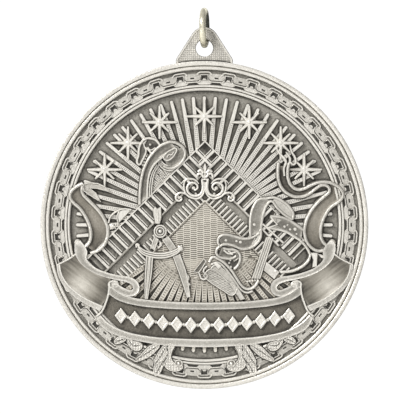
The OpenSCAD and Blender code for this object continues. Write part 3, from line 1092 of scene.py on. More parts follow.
class JEWEL_OT_left_horn(Operator):
    """Curved ribbon over the left leg of the square, with its leaf, its curl and the folded end below"""

    bl_idname = "jewel.left_horn"
    bl_label = "Left curved ribbon"

    def execute(self, context):
        base = RAY_TOP - 0.15
        outer = sheet(
            (139.6, 204.6), (140.0, 191.3), (142.0, 176.0), (145.6, 164.8), (150.8, 155.6), (158.3, 147.6),
            (165.8, 143.2), (172.0, 142.0), (179.0, 144.4), (184.0, 149.2), (185.0, 154.6), (182.4, 160.8),
            (176.4, 166.6), (169.6, 168.4), (163.4, 166.0),
        )
        inner = sheet(
            (147.0, 199.0), (147.6, 184.0), (150.0, 171.6), (155.0, 163.4), (161.6, 157.8), (165.6, 153.4), (174.0, 148.6),
        )
        trough_left = sheet((140.6, 203.4), (141.4, 184.0), (145.0, 168.0), (152.6, 154.6), (162.0, 146.0), (172.0, 143.4))
        trough_right = sheet((147.0, 198.0), (148.0, 183.7), (150.6, 171.0), (156.6, 162.0), (165.0, 154.0), (176.0, 148.0))
        pocket_left = sheet((177.0, 149.4), (175.4, 154.6), (171.6, 159.2), (166.6, 161.6))
        pocket_right = sheet((181.6, 147.4), (184.4, 154.6), (180.0, 162.6), (170.4, 167.4))
        leaf = sheet(
            (163.6, 158.2), (165.9, 153.6), (171.0, 150.0), (176.4, 148.8), (175.2, 153.6), (171.4, 158.4), (166.9, 160.4),
        )
        parts = [
            ridge(outer, unit(3.1), HIGH_TOP, base, sides=2, most=0.56, detail=3),
            # Painted shade along the outer line.
            shade(outer, unit(5.0), HIGH_TOP - 0.16, detail=3),
            ridge(inner, unit(2.4), HIGH_TOP - 0.08, base, most=0.80, detail=3, ends=(0.9, 0.9)),
            plate(leaf, base, HIGH_TOP - 0.14, sharp=False, most=0.5),
            ridge(leaf, unit(1.6), HIGH_TOP, base, closed=True, detail=3),
            ridge(sheet((167.0, 157.6), (169.0, 154.6), (171.6, 154.8), (173.6, 151.6)), unit(1.3), HIGH_TOP, HIGH_TOP - 0.2),
        ]
        for shift_x in (2.0, 4.0):
            line = sheet((147.2 + shift_x, 196.8), (148.0 + shift_x, 184.0), (150.4 + shift_x, 173.0), (155.4 + shift_x, 164.6))
            parts.append(ridge(line, unit(1.4), HIGH_TOP - 0.14, base, detail=3, ends=(1.0, 0.4)))
        for line in (
            ((158.0, 163.4), (163.0, 168.6), (170.6, 170.6), (177.4, 167.4)),
            ((160.6, 160.6), (165.4, 164.8), (171.6, 166.6)),
        ):
            parts.append(ridge(sheet(*line), unit(2.0), HIGH_TOP - 0.12, base, detail=3, ends=(0.3, 0.3)))
        for k in range(6):
            line = sheet((155.0 + k * 1.2, 172.6 + k * 3.2), (165.6 - k * 1.9, 174.6 + k * 3.6))
            parts.append(ridge(line, unit(1.3), LOW_TOP + 0.05, base, ends=(0.5, 0.5)))
        curl = sheet(
            (160.4, 146.0), (156.4, 140.8), (150.6, 138.4), (145.2, 139.0), (141.2, 142.6), (139.0, 148.4),
            (138.4, 155.8), (137.0, 161.6), (139.2, 164.6), (142.0, 160.8), (144.6, 155.4), (146.0, 150.2),
            (144.6, 147.0), (144.0, 143.6), (146.4, 140.6),
        )
        curl_bed = sheet(
            (160.0, 146.0), (156.2, 141.0), (150.6, 138.6), (145.4, 139.4), (141.6, 142.8), (139.4, 148.6),
            (138.8, 155.8), (137.4, 161.6), (139.2, 164.0), (142.2, 160.4), (144.8, 155.0), (147.6, 150.0),
            (152.0, 154.0), (156.0, 150.0),
        )
        parts += [
            ridge(curl, unit(2.7), HIGH_TOP - 0.08, base, detail=3, ends=(1.0, 0.5)),
            ridge(sheet((152.0, 154.0), (147.8, 149.2), (144.8, 147.6)), unit(2.4), HIGH_TOP - 0.10, base, detail=3),
            plate(curl_bed, base, RAY_TOP + 0.08, sharp=True, least=0.0, most=0.46),
            wear(bead(*sheet((150.2, 144.6))[0], unit(1.5), HIGH_TOP - 0.15, base), 0.0, 1.0, 0.50, 0.50),
            ridge(sheet((147.6, 147.0), (150.6, 150.0), (155.4, 147.6)), unit(1.6), HIGH_TOP - 0.16, base, detail=3),
        ]
        for k in range(4):
            parts.append(bead(*sheet((146.4 - k * 1.1, 156.0 + k * 3.0))[0], unit(1.3), LOW_TOP + 0.1, base))
        flap = sheet((117.0, 212.6), (122.6, 209.4), (131.0, 210.0), (119.0, 223.0), (117.6, 218.6))
        parts += [
            plate(flap, base, HIGH_TOP - 0.22, sharp=True, most=0.86),
            ridge(
                sheet((108.4, 223.0), (110.6, 216.4), (116.6, 211.4), (122.6, 209.0), (131.4, 209.8)),
                unit(1.9), HIGH_TOP - 0.10, base, detail=3,
            ),
            ridge(sheet((119.0, 211.0), (117.0, 217.0), (118.2, 224.0)), unit(1.4), HIGH_TOP - 0.12, base, detail=3),
            bead(*sheet((111.8, 226.4))[0], unit(3.2), HIGH_TOP - 0.12, base),
            ridge(sheet((110.0, 229.4), (113.8, 226.0), (115.6, 229.0)), unit(1.3), HIGH_TOP - 0.06, base, detail=3),
        ]
        finished(joined(*parts), "left_curved_ribbon", cast_metal())
        troughs = [
            band(trough_left, trough_right, HIGH_TOP - 0.20, 0.16, FIELD - ROOT, least=0.12, most=0.54, cuts=5),
            band(pocket_left, pocket_right, HIGH_TOP - 0.20, 0.16, FIELD - ROOT, least=0.12, most=0.54, cuts=5),
        ]
        finished(joined(*troughs), "left_ribbon_hollows", cast_metal(), smooth=60.0)
        return {"FINISHED"}


class JEWEL_OT_right_curls(Operator):
    """Curled ribbons over the right leg of the square"""

    bl_idname = "jewel.right_curls"
    bl_label = "Right curls"

    def execute(self, context):
        base = RAY_TOP - 0.15
        lines = (
            ((250.6, 238.0), (250.4, 222.0), (251.4, 213.0), (254.4, 205.0), (259.0, 199.6), (266.3, 198.6),
             (274.6, 197.8), (283.0, 201.6), (289.8, 207.6), (293.2, 214.0), (292.2, 219.8)),
            ((260.6, 234.0), (261.8, 221.5), (263.4, 213.2), (266.3, 205.7), (271.3, 201.1), (276.3, 206.5),
             (283.0, 213.4), (292.0, 219.6)),
            ((260.9, 228.9), (258.0, 233.9), (250.0, 238.3), (242.4, 238.6), (235.0, 236.6), (225.0, 234.7),
             (219.6, 237.0), (217.9, 241.6), (219.6, 246.0)),
            ((261.0, 232.0), (260.2, 238.0), (256.4, 243.8), (249.8, 248.0), (241.5, 248.8), (233.4, 245.6),
             (225.0, 244.3), (219.8, 246.3), (216.4, 250.5), (217.6, 255.4), (224.9, 258.2), (232.4, 258.2), (236.2, 256.0)),
            ((223.2, 248.2), (228.6, 249.6), (234.0, 249.8), (239.0, 253.2), (240.2, 259.0), (238.0, 265.2), (234.2, 269.0)),
            ((270.3, 216.5), (278.8, 216.9), (287.1, 219.2), (295.4, 224.2), (303.6, 229.8)),
            ((268.0, 227.9), (275.0, 228.9), (283.9, 230.8), (292.9, 235.6), (301.6, 241.6), (307.4, 248.6), (310.2, 254.2)),
            ((280.4, 272.0), (291.2, 271.2), (301.2, 267.1), (308.4, 260.4), (310.7, 254.0)),
        )
        parts = [ridge(sheet(*line), unit(2.9), HIGH_TOP - 0.02, base, sides=2, most=0.60, detail=3) for line in lines]
        # Painted shade along each line.
        parts += [shade(sheet(*line), unit(4.7), detail=3) for line in lines]
        for line in (
            ((270.3, 216.5), (277.2, 224.6), (268.0, 227.9)),
            ((223.6, 250.2), (228.0, 253.6), (233.0, 254.2)),
            ((228.0, 251.0), (231.6, 253.0), (235.6, 252.0)),
            ((262.8, 224.0), (283.6, 243.0)),
        ):
            parts.append(ridge(sheet(*line), unit(2.3), HIGH_TOP - 0.06, base, sharp=True))
        flap = sheet(
            (272.0, 201.4), (275.0, 198.6), (283.0, 202.0), (289.6, 207.8), (293.0, 214.2), (292.0, 219.4), (287.4, 217.0),
            (282.4, 212.8), (277.0, 207.0),
        )
        strap = sheet((251.0, 246.6), (256.0, 238.6), (260.6, 231.6), (259.8, 238.2), (256.0, 243.6))
        fork = sheet((310.6, 252.6), (317.9, 252.6), (317.0, 266.6), (312.4, 267.4), (313.4, 260.0))
        notch = sheet((263.8, 224.4), (270.3, 217.2), (277.0, 224.4), (268.4, 227.6))
        high_tip = sheet((270.8, 216.7), (279.0, 217.4), (281.6, 220.6), (277.4, 223.8))
        low_tip = sheet((268.6, 227.8), (277.4, 225.4), (281.6, 228.0), (280.0, 230.0), (275.0, 228.9))
        under = sheet((217.0, 252.0), (224.0, 246.0), (237.0, 249.0), (241.0, 258.0), (237.0, 268.0), (230.0, 269.0), (225.0, 260.0))
        parts += [
            # Dark plates of painted shade under the lower curls and in the notch.
            plate(under, FIELD, MIDDLE_TOP + 0.16, sharp=True, most=0.06),
            plate(notch, FIELD, MIDDLE_TOP + 0.16, sharp=True, most=0.10),
            plate(high_tip, base, HIGH_TOP - 0.16, sharp=True, most=0.66),
            plate(low_tip, base, HIGH_TOP - 0.16, sharp=True, most=0.66),
            plate(flap, base, HIGH_TOP - 0.20, sharp=False, detail=2, least=0.1, most=0.86),
            plate(strap, base, HIGH_TOP - 0.16, sharp=False, detail=2, most=0.92),
            plate(fork, base, HIGH_TOP - 0.02, sharp=True, most=1.0),
        ]
        for x, y, r in (
            (254.4, 224.6, 2.2), (236.6, 241.2, 1.6), (240.6, 242.2, 2.0), (226.0, 240.4, 1.9), (284.6, 226.6, 1.8),
            (290.2, 229.4, 1.7), (295.2, 229.2, 2.2), (229.4, 263.0, 1.4), (231.0, 267.0, 1.4), (296.6, 234.0, 1.4),
            (287.6, 225.0, 1.3), (230.4, 260.4, 1.2),
        ):
            parts.append(bead(*sheet((x, y))[0], unit(r), HIGH_TOP - 0.12, base))
        finished(joined(*parts), "right_curls", cast_metal())
        hollows = [
            band(
                sheet((251.0, 236.0), (251.2, 222.0), (252.6, 211.0), (257.0, 202.4), (264.0, 199.4)),
                sheet((260.4, 232.0), (261.4, 221.0), (263.0, 213.0), (266.0, 205.4), (271.0, 200.8)),
                HIGH_TOP - 0.12, 0.12, FIELD - ROOT, least=0.05, most=0.60, cuts=5,
            ),
            band(
                sheet((257.0, 234.6), (250.0, 239.0), (242.0, 239.4), (234.0, 237.6), (225.0, 235.8), (219.8, 240.0)),
                sheet((252.0, 246.0), (247.0, 247.6), (240.4, 247.6), (233.0, 244.6), (226.0, 243.4), (221.0, 244.4)),
                HIGH_TOP - 0.12, 0.12, FIELD - ROOT, least=0.0, most=0.40, cuts=5,
            ),
            band(
                sheet((276.0, 218.0), (285.0, 219.8), (294.0, 224.6), (302.6, 230.4)),
                sheet((276.6, 228.0), (284.0, 229.8), (292.4, 234.4), (301.0, 240.4)),
                HIGH_TOP - 0.12, 0.12, FIELD - ROOT, least=0.0, most=0.40, cuts=5,
            ),
            band(
                sheet((222.0, 247.4), (230.0, 250.4), (236.0, 252.0), (238.8, 258.4)),
                sheet((219.0, 254.6), (225.0, 257.0), (231.0, 257.0), (234.0, 262.0)),
                HIGH_TOP - 0.14, 0.14, FIELD - ROOT, least=0.0, most=0.45, cuts=5,
            ),
        ]
        finished(joined(*hollows), "right_curl_hollows", cast_metal(), smooth=60.0)
        return {"FINISHED"}


class JEWEL_OT_tools(Operator):
    """Fluted rule, curved line with its foot, gavel and plain plate on the right"""

    bl_idname = "jewel.tools"
    bl_label = "Tools"

    def execute(self, context):
        base = MIDDLE_TOP - 0.10
        rule = sheet((266.0, 237.4), (270.0, 236.4), (273.2, 239.4), (260.4, 279.4), (251.6, 278.4))
        body = sheet(
            (203.8, 275.8), (210.1, 269.2), (213.5, 265.8), (219.0, 266.5), (226.0, 271.5), (232.0, 277.5), (236.5, 284.0),
            (238.4, 287.4), (232.7, 295.0), (224.0, 290.4), (215.0, 284.8), (209.0, 280.6),
        )
        wedge = sheet((193.6, 271.8), (203.8, 258.8), (206.2, 261.0), (202.4, 267.6), (198.6, 272.6))
        block = sheet((212.6, 262.8), (216.6, 261.8), (222.0, 266.0), (218.6, 269.6))
        shaft = sheet((228.6, 283.4), (233.6, 280.4), (245.6, 299.0), (240.4, 300.6))
        slab = sheet((266.2, 261.2), (279.8, 272.0), (274.4, 279.6), (263.4, 270.6))
        parts = [
            plate(rule, base, HIGH_TOP - 0.20, sharp=True, least=0.0, most=0.75),
            plate(wedge, base, HIGH_TOP - 0.26, sharp=True, most=0.34),
            ridge(wedge, unit(1.3), HIGH_TOP - 0.04, base, most=0.8, sharp=True, closed=True),
            plate(block, base, HIGH_TOP - 0.06, sharp=True),
            plate(slab, base, HIGH_TOP - 0.16, sharp=True, most=0.66),
            plate(shaft, base, HIGH_TOP - 0.14, sharp=True, most=0.60),
            bead(*sheet((275.8, 271.4))[0], unit(1.2), HIGH_TOP - 0.04, HIGH_TOP - 0.2),
        ]
        for share in (0.04, 0.34, 0.66, 0.96):
            line = sheet((266.4 + 6.6 * share, 238.2), (252.2 + 7.8 * share, 278.6))
            parts.append(ridge(line, unit(1.6), HIGH_TOP - 0.04, base, ends=(0.9, 0.9)))
            # Painted shade along each flute.
            parts.append(shade(line, unit(3.2)))
        for line, width in (
            (((209.0, 262.0), (213.0, 257.0), (219.0, 259.4), (226.0, 264.4), (232.0, 271.2), (237.0, 279.0),
              (242.4, 286.4), (248.0, 289.2), (254.4, 286.6), (258.4, 280.4)), 2.4),
            (((211.0, 264.6), (218.0, 262.4), (224.6, 267.6), (230.6, 274.8), (236.4, 283.0), (241.0, 289.6), (246.6, 292.6),
              (252.6, 291.2)), 1.6),
            (((203.6, 276.0), (209.0, 281.0), (215.0, 285.2), (224.0, 290.8), (232.7, 295.2), (238.2, 287.6)), 0.7),
            (((203.6, 275.6), (210.1, 269.2), (221.0, 275.0), (227.0, 281.0), (237.4, 287.4)), 0.7),
            (((211.0, 269.0), (213.5, 265.8), (219.0, 266.5), (226.0, 271.5), (232.0, 277.5), (236.5, 284.0)), 0.7),
            (((186.0, 274.0), (188.6, 277.6), (187.6, 281.6), (190.0, 285.0)), 1.6),
            (((199.0, 273.0), (203.0, 279.4), (207.6, 276.0), (203.4, 271.4), (207.0, 266.0)), 1.6),
        ):
            parts.append(ridge(sheet(*line), unit(width + 0.6), HIGH_TOP - 0.06, base, sides=2, most=0.66, detail=3))
            # Painted shade along each line.
            parts.append(shade(sheet(*line), unit(width + 2.2), detail=3))
        for k in range(5):
            parts.append(bead(*sheet((247.4 + 2.6 * k, 281.6 - 0.4 * k))[0], unit(1.3), HIGH_TOP - 0.2, base))
        finished(joined(*parts), "tools", cast_metal())
        strokes = [plate(body, base, HIGH_TOP - 0.24, sharp=False, detail=2, most=0.86, lip=0.0)]
        for i in range(11):
            for j in range(6):
                along = 2.9 * i + 0.5 + 1.4 * (j % 2)
                over = (2.2 * j - 5.4) * (1.0 - 0.03 * abs(i - 5))
                x = 207.0 + 0.84 * along - 0.54 * over
                y = 273.6 + 0.54 * along + 0.84 * over
                stroke = ridge(
                    sheet((x - 1.1, y - 0.2), (x + 1.1, y + 0.2)), unit(0.9), HIGH_TOP - 0.20, HIGH_TOP - 0.30, sharp=True
                )
                strokes.append(wear(stroke, 0.0, 1.0, 0.34, 0.34))
        finished(joined(*strokes), "gavel_body", cast_metal())
        return {"FINISHED"}


class JEWEL_OT_ribbons(Operator):
    """Ribbon tails on either side, and the folds, loops and large curls that lead to the banner"""

    bl_idname = "jewel.ribbons"
    bl_label = "Ribbons"

    def execute(self, context):
        base = FIELD - ROOT
        lines = (
            # left tail: outer side, then inner side round its foot
            (((82.8, 183.6), (76.6, 186.6), (71.0, 192.0), (70.0, 197.0), (73.0, 202.2), (79.4, 207.8), (85.2, 216.0),
              (89.4, 225.4), (91.0, 235.0), (89.4, 242.0), (85.6, 246.6)), 3.6),
            (((82.4, 186.0), (82.2, 192.6), (88.6, 200.4), (96.6, 208.5), (104.2, 219.0), (107.8, 230.0), (105.6, 241.8),
              (99.2, 249.6), (90.6, 253.6)), 3.8),
            # right tail: the same, with the length that runs up to the forked end
            (((278.4, 163.0), (278.0, 172.0), (278.6, 180.0), (282.4, 188.6), (290.0, 194.8), (299.0, 196.8),
              (308.2, 194.4), (316.6, 188.0), (322.4, 185.0), (328.8, 187.2), (329.4, 191.6), (325.0, 196.0),
              (317.0, 203.4), (309.6, 213.6), (305.2, 225.1), (305.2, 237.0), (310.6, 246.8), (318.9, 251.0),
              (325.6, 249.4)), 3.4),
            (((289.0, 163.0), (287.6, 172.0), (288.4, 179.6), (291.4, 185.8), (297.2, 189.6), (304.0, 188.8),
              (311.4, 185.2), (319.0, 182.6), (327.0, 182.4), (335.0, 184.8), (341.0, 189.4), (343.2, 195.2),
              (339.4, 201.2), (331.4, 206.6), (325.2, 215.0), (321.2, 225.4), (320.6, 235.2), (323.0, 242.0),
              (327.6, 246.4)), 3.4),
        )
        parts = [
            ridge(sheet(*line), unit(width), HIGH_TOP + 0.02, FIELD, sides=2, most=0.58, detail=3) for line, width in lines
        ]
        # Painted shade along each edge of the tails.
        parts += [shade(sheet(*line), unit(width + 1.7), HIGH_TOP - 0.17, detail=3) for line, width in lines]
        prongs = (
            ((282.0, 146.0), (279.0, 152.0), (283.6, 157.4), (286.0, 162.0), (284.0, 168.0), (284.4, 176.0)),
            ((276.2, 144.6), (277.6, 150.6), (282.4, 156.4), (285.4, 161.0)),
            ((290.0, 144.6), (291.6, 151.6), (295.4, 158.6), (294.0, 164.6), (290.0, 162.0)),
            ((286.0, 152.0), (290.0, 158.4), (289.4, 164.4)),
        )
        for line in prongs:
            parts.append(ridge(sheet(*line), unit(2.7), HIGH_TOP - 0.04, FIELD, detail=3, ends=(0.5, 0.9)))
        swallow = sheet(
            (83.0, 184.2), (90.0, 182.8), (98.0, 183.6), (105.0, 187.0), (111.6, 192.6), (103.0, 189.8), (96.0, 188.0),
            (89.6, 188.4), (95.4, 192.8), (100.8, 202.0), (94.0, 197.8), (84.0, 191.0),
        )
        parts.append(plate(swallow, base, LOW_TOP + 0.04, sharp=True, most=0.7))
        parts.append(ridge(swallow, unit(1.3), HIGH_TOP - 0.06, FIELD, sharp=True, closed=True))
        tails = joined(*parts)
        finished(tails, "ribbon_tail_edges", cast_metal())

        fold_left = ((74.6, 244.0), (74.8, 252.6), (78.3, 260.3), (85.9, 268.0), (98.1, 274.8), (115.0, 279.8),
                     (128.0, 282.8), (133.0, 286.6), (132.0, 289.8), (126.0, 289.0), (119.0, 285.4), (114.0, 283.6))
        fold_right = ((80.4, 240.6), (87.2, 251.4), (86.4, 258.4), (92.0, 265.4), (103.5, 271.4), (119.6, 275.6),
                      (131.8, 277.8), (138.8, 284.4), (137.8, 292.8), (129.4, 296.6), (120.0, 293.2), (112.4, 288.0))
        fold = band(sheet(*fold_left), sheet(*fold_right), HIGH_TOP, 0.10, base, detail=3)
        # Darker in the middle of the hollow fold than at its edges: patina and painted shade.
        wear(fold, HIGH_TOP - 0.10, HIGH_TOP, 0.52, 0.95)
        horn_edge = band(
            sheet((56.6, 265.4), (57.4, 273.0), (61.8, 283.2), (70.6, 293.6), (82.6, 302.6), (99.6, 311.0)),
            sheet((60.0, 264.6), (61.2, 272.0), (66.0, 281.6), (75.2, 291.2), (86.8, 299.0), (103.0, 306.8)),
            HIGH_TOP - 0.03, 0.0, base, detail=3, most=0.66,
        )
        thin = [
            ridge(
                sheet((59.4, 264.8), (60.6, 272.2), (65.4, 281.8), (74.6, 291.4), (86.4, 299.4), (102.4, 306.6)),
                unit(2.2), HIGH_TOP + 0.01, FIELD, detail=3,
            ),
            ridge(sheet((57.0, 265.0), (64.5, 261.3), (70.6, 258.0), (75.4, 254.2)), unit(2.0), HIGH_TOP, FIELD, detail=3),
            ridge(
                sheet((109.4, 283.4), (108.4, 293.9), (105.4, 303.5), (101.4, 312.0), (96.6, 316.4)),
                unit(2.6), HIGH_TOP + 0.02, FIELD, detail=3,
            ),
            ridge(sheet((111.0, 288.2), (108.6, 284.4), (112.0, 281.2), (117.6, 282.0)), unit(2.6), HIGH_TOP, FIELD, detail=3),
            plate(
                sheet((108.6, 284.6), (112.0, 281.4), (118.4, 282.2), (120.0, 286.6), (112.6, 289.6)),
                FIELD, HIGH_TOP - 0.07, sharp=True, most=0.80,
            ),
            bead(*sheet((77.6, 242.6))[0], unit(3.6), HIGH_TOP, FIELD),
        ]
        finished(mirrored(joined(fold, horn_edge, *thin)), "ribbon_folds", cast_metal(), smooth=50.0)

        left_hollow = band(
            sheet((80.0, 185.4), (72.4, 192.6), (73.6, 201.4), (80.4, 207.8), (86.6, 217.0), (90.6, 227.0), (91.4, 236.5),
                  (87.0, 246.0)),
            sheet((82.6, 187.4), (82.4, 193.4), (88.0, 200.4), (96.2, 208.6), (103.8, 219.4), (107.2, 230.5), (104.6, 242.0),
                  (94.0, 252.0)),
            HIGH_TOP - 0.20, 0.20, base, cuts=7,
        )
        # Painted shade along the hollow, darkest at its foot and lightest a little above the middle.
        graded(left_hollow, 90.0, unit(-28), unit(40), (0.10, 0.30, 0.44, 0.38, 0.36))
        right_hollow = band(
            sheet((279.0, 166.0), (279.6, 180.0), (284.0, 188.0), (291.0, 193.8), (299.4, 195.6), (307.6, 193.0),
                  (316.0, 187.0), (323.0, 184.4)),
            sheet((288.0, 166.0), (288.0, 179.6), (291.6, 186.4), (297.2, 190.4), (304.4, 189.4), (311.4, 186.0),
                  (318.0, 183.6), (324.0, 182.8)),
            HIGH_TOP - 0.20, 0.20, base, cuts=7,
        )
        # Painted shade across the hollow: dark at one end, lighter in the middle.
        graded(right_hollow, -40.0, unit(40), unit(85), (0.16, 0.30, 0.50, 0.30))
        right_lower = band(
            sheet((329.6, 185.0), (329.0, 192.4), (317.4, 203.8), (310.4, 213.8), (306.2, 225.1), (306.2, 236.6),
                  (311.4, 246.0), (321.0, 250.0)),
            sheet((336.0, 185.4), (342.6, 194.6), (331.0, 206.0), (324.4, 214.6), (320.4, 225.2), (320.0, 235.4),
                  (322.4, 242.6), (327.0, 246.6)),
            HIGH_TOP - 0.20, 0.20, base, cuts=7,
        )
        # Painted shade along the hollow: dark at both ends, lighter in the middle.
        graded(right_lower, 90.0, unit(-28), unit(40), (0.12, 0.34, 0.48, 0.42, 0.24))
        finished(joined(left_hollow, right_hollow, right_lower), "ribbon_hollows", ground_metal(), smooth=60.0)
        horn = band(
            sheet((59.0, 265.0), (60.8, 273.6), (66.0, 283.0), (75.4, 292.2), (87.4, 300.4), (101.4, 306.6)),
            sheet((76.6, 254.0), (80.6, 261.4), (89.0, 269.0), (99.6, 274.8), (110.4, 279.4), (109.4, 293.0)),
            HIGH_TOP - 0.04, 0.10, base, detail=5, cuts=9,
        )
        # Painted light and shade across the curl: dark at both sides and lit in the middle, then darker towards one
        # end.
        graded(horn, -38.0, unit(-92), unit(-32), (0.18, 0.26, 0.46, 0.74, 0.82, 0.62, 0.30, 0.16))
        graded(horn, 52.0, unit(-128), unit(-108), (1.0, 1.0, 0.86, 0.62), over=True)
        finished(mirrored(horn), "ribbon_curls", satin_metal(), smooth=60.0)
        return {"FINISHED"}


class JEWEL_OT_banner(Operator):
    """Banner with its two borders and a row of plain lozenges"""

    bl_idname = "jewel.banner"
    bl_label = "Banner"

    def execute(self, context):
        base = FIELD - ROOT
        top_upper = across([(110.6, 287.0), (117.4, 293.0), (127.0, 297.3), (146.1, 300.8), (174.8, 303.0)])
        top_lower = across([(109.0, 294.4), (118.6, 300.4), (135.6, 305.2), (160.0, 308.0), (182.0, 309.2)])
        low_upper = across([(100.0, 315.6), (107.8, 323.4), (122.0, 331.0), (141.3, 336.0), (172.0, 339.2)])
        low_lower = across([(97.0, 317.8), (103.4, 328.4), (120.6, 336.6), (142.0, 341.8), (174.0, 346.0)])
        top = wear(band(sheet(*top_upper), sheet(*top_lower), HIGH_TOP, 0.06, base), HIGH_TOP - 0.06, HIGH_TOP, 0.46, 0.62)
        low = band(sheet(*low_upper), sheet(*low_lower), HIGH_TOP - 0.03, 0.06, base)
        wear(low, HIGH_TOP - 0.09, HIGH_TOP - 0.03, 0.58, 0.80)
        lines = [
            ridge(sheet(*low_upper), unit(1.9), HIGH_TOP + 0.04, ZONE_TOP, sides=2),
            ridge(sheet(*across([(111.6, 287.4), (118.4, 292.8), (128.0, 297.0), (147.0, 300.4), (175.0, 302.6)])),
                  unit(1.4), HIGH_TOP + 0.03, ZONE_TOP),
        ]
        finished(joined(top, low, *lines), "banner_borders", cast_metal(), smooth=50.0)

        zone = band(sheet(*top_lower), sheet(*low_upper), ZONE_TOP, 0.05, base, detail=12, cuts=23)
        # Painted shade: the banner's ground darker towards its top and bottom edges, under the borders, and lighter
        # along the middle.
        layer = zone.data.attributes["wear"]
        for spot, vertex in zip(layer.data, zone.data.vertices):
            along = vertex.co.x / unit(100.0)
            fall = (vertex.co.y + unit(88.0 + 4.0 * (1.0 - along * along))) / unit(16.0)
            spot.value = 0.26 - 0.12 * min(abs(fall), 1.0)
        finished(zone, "banner_ground", ground_metal(), smooth=60.0)

        marks = []
        count = sizes().lozenges
        for i in range(count):
            share = (2 * i / (count - 1)) - 1
            x, y = sheet((AXIS_X + 84.0 * share, 325.4 - 9.6 * share * share))[0]
            marks.append(self.lozenge(x, y, unit(6.3), unit(8.0)))
            if i < count - 1:
                half = (2 * (i + 0.5) / (count - 1)) - 1
                place = sheet((AXIS_X + 84.0 * half, 325.4 - 9.6 * half * half))[0]
                marks.append(bead(*place, unit(1.8), HIGH_TOP - 0.12, ZONE_TOP - 0.08))
        finished(joined(*marks), "banner_lozenges", cast_metal(), smooth=20.0)
        return {"FINISHED"}

    def lozenge(self, x, y, half_width, half_height):
        """A diamond with a rim and a sunk middle."""
        rest()
        start = ZONE_TOP - 0.08
        bpy.ops.mesh.primitive_circle_add(vertices=4, radius=1.0, fill_type="NGON", location=(x, y, start))
        piece = bpy.context.object
        bpy.ops.object.transform_apply(location=True)
        enter(piece)
        grow(half_width, half_height, 1.0, (x, y, start))
        bpy.ops.mesh.extrude_region_move(TRANSFORM_OT_translate={"value": (0.0, 0.0, HIGH_TOP - 0.10 - start)})
        bpy.ops.mesh.inset(thickness=0.10, depth=0.08)
        bpy.ops.mesh.inset(thickness=0.24, depth=0.0)
        bpy.ops.mesh.inset(thickness=0.10, depth=-0.10)
        bpy.ops.mesh.select_all(action="SELECT")
        bpy.ops.mesh.normals_make_consistent(inside=False)
        leave()
        return wear(piece, ZONE_TOP + 0.05, HIGH_TOP - 0.15)


class JEWEL_OT_leaves(Operator):
    """Two sprays of leaves that cross the chain under the banner"""

    bl_idname = "jewel.leaves"
    bl_label = "Leaves"

    def execute(self, context):
        base = FIELD - ROOT
        outlines = (
            ((114.6, 343.0), (117.2, 338.0), (121.4, 336.4), (126.4, 338.4), (122.4, 342.0), (117.6, 343.6)),
            ((127.8, 338.6), (129.0, 345.0), (133.4, 349.6), (138.8, 350.4), (142.2, 345.6), (138.4, 342.4), (133.0, 341.4)),
            ((159.4, 344.8), (150.8, 345.8), (145.6, 350.0), (139.6, 356.4), (136.0, 360.0), (143.6, 359.2), (150.2, 355.6),
             (156.4, 350.0)),
            ((167.0, 344.6), (160.0, 350.4), (156.4, 356.4), (154.6, 364.6), (160.2, 361.4), (165.4, 355.8), (168.8, 349.4)),
            ((168.6, 355.6), (161.4, 361.4), (155.4, 364.6), (153.8, 370.4), (155.4, 376.0), (159.4, 373.4), (162.8, 366.4),
             (166.4, 360.4)),
            ((166.4, 345.4), (174.2, 345.4), (172.2, 350.0), (170.8, 354.6), (171.0, 358.6), (173.0, 362.0), (176.4, 365.4),
             (182.6, 365.8), (181.6, 369.0), (177.6, 371.0), (172.6, 371.0), (167.6, 369.0), (164.6, 364.8),
             (165.8, 360.6), (168.6, 355.6), (166.6, 351.0)),
        )
        stems = (
            ((115.0, 342.6), (120.4, 340.2), (126.0, 338.4)),
            ((128.4, 339.6), (133.4, 345.6), (140.8, 345.0)),
            ((158.4, 345.6), (147.6, 352.6), (136.8, 359.6)),
            ((166.6, 345.6), (161.4, 355.0), (155.2, 364.0)),
            ((168.0, 356.4), (160.6, 365.4), (155.6, 375.4)),
            ((168.0, 356.6), (164.6, 361.0)),
            ((157.0, 376.2), (161.2, 370.6), (163.6, 364.0), (165.6, 358.0)),
        )
        veins = [ridge(sheet(*line), unit(1.2), HIGH_TOP - 0.04, LOW_TOP, detail=3, ends=(0.6, 0.6)) for line in stems]
        for vein in veins:
            wear(vein, 0.0, 1.0, 0.12, 0.12)
        edges = [ridge(sheet(*line), unit(1.1), HIGH_TOP - 0.02, LOW_TOP, closed=True, detail=2) for line in outlines]
        x, y = sheet((178.6, 363.6))[0]
        disc = wear(bead(x, y, unit(4.4), HIGH_TOP - 0.06, CHANNEL), 0.0, 1.0, 0.34, 0.34)
        turns = [k * math.pi / 4 for k in range(8)]
        rim = [(x + unit(3.5) * math.cos(t), y + unit(3.5) * math.sin(t)) for t in turns]
        boss = joined(
            disc,
            ridge(rim, unit(1.4), HIGH_TOP + 0.01, HIGH_TOP - 0.20, closed=True, most=0.8),
            bead(x, y, unit(1.2), HIGH_TOP + 0.01, HIGH_TOP - 0.16),
        )
        finished(mirrored(joined(boss, *veins, *edges)), "leaf_veins", cast_metal())
        leaves = [plate(sheet(*line), base, HIGH_TOP - 0.09, detail=2, sharp=False, most=0.84) for line in outlines]
        for line in outlines:
            # Painted shade round each leaf.
            leaves.append(shade(sheet(*line), unit(4.0), HIGH_TOP - 0.15, closed=True, detail=2))
        finished(mirrored(joined(*leaves)), "leaves", stippled_metal())
        return {"FINISHED"}


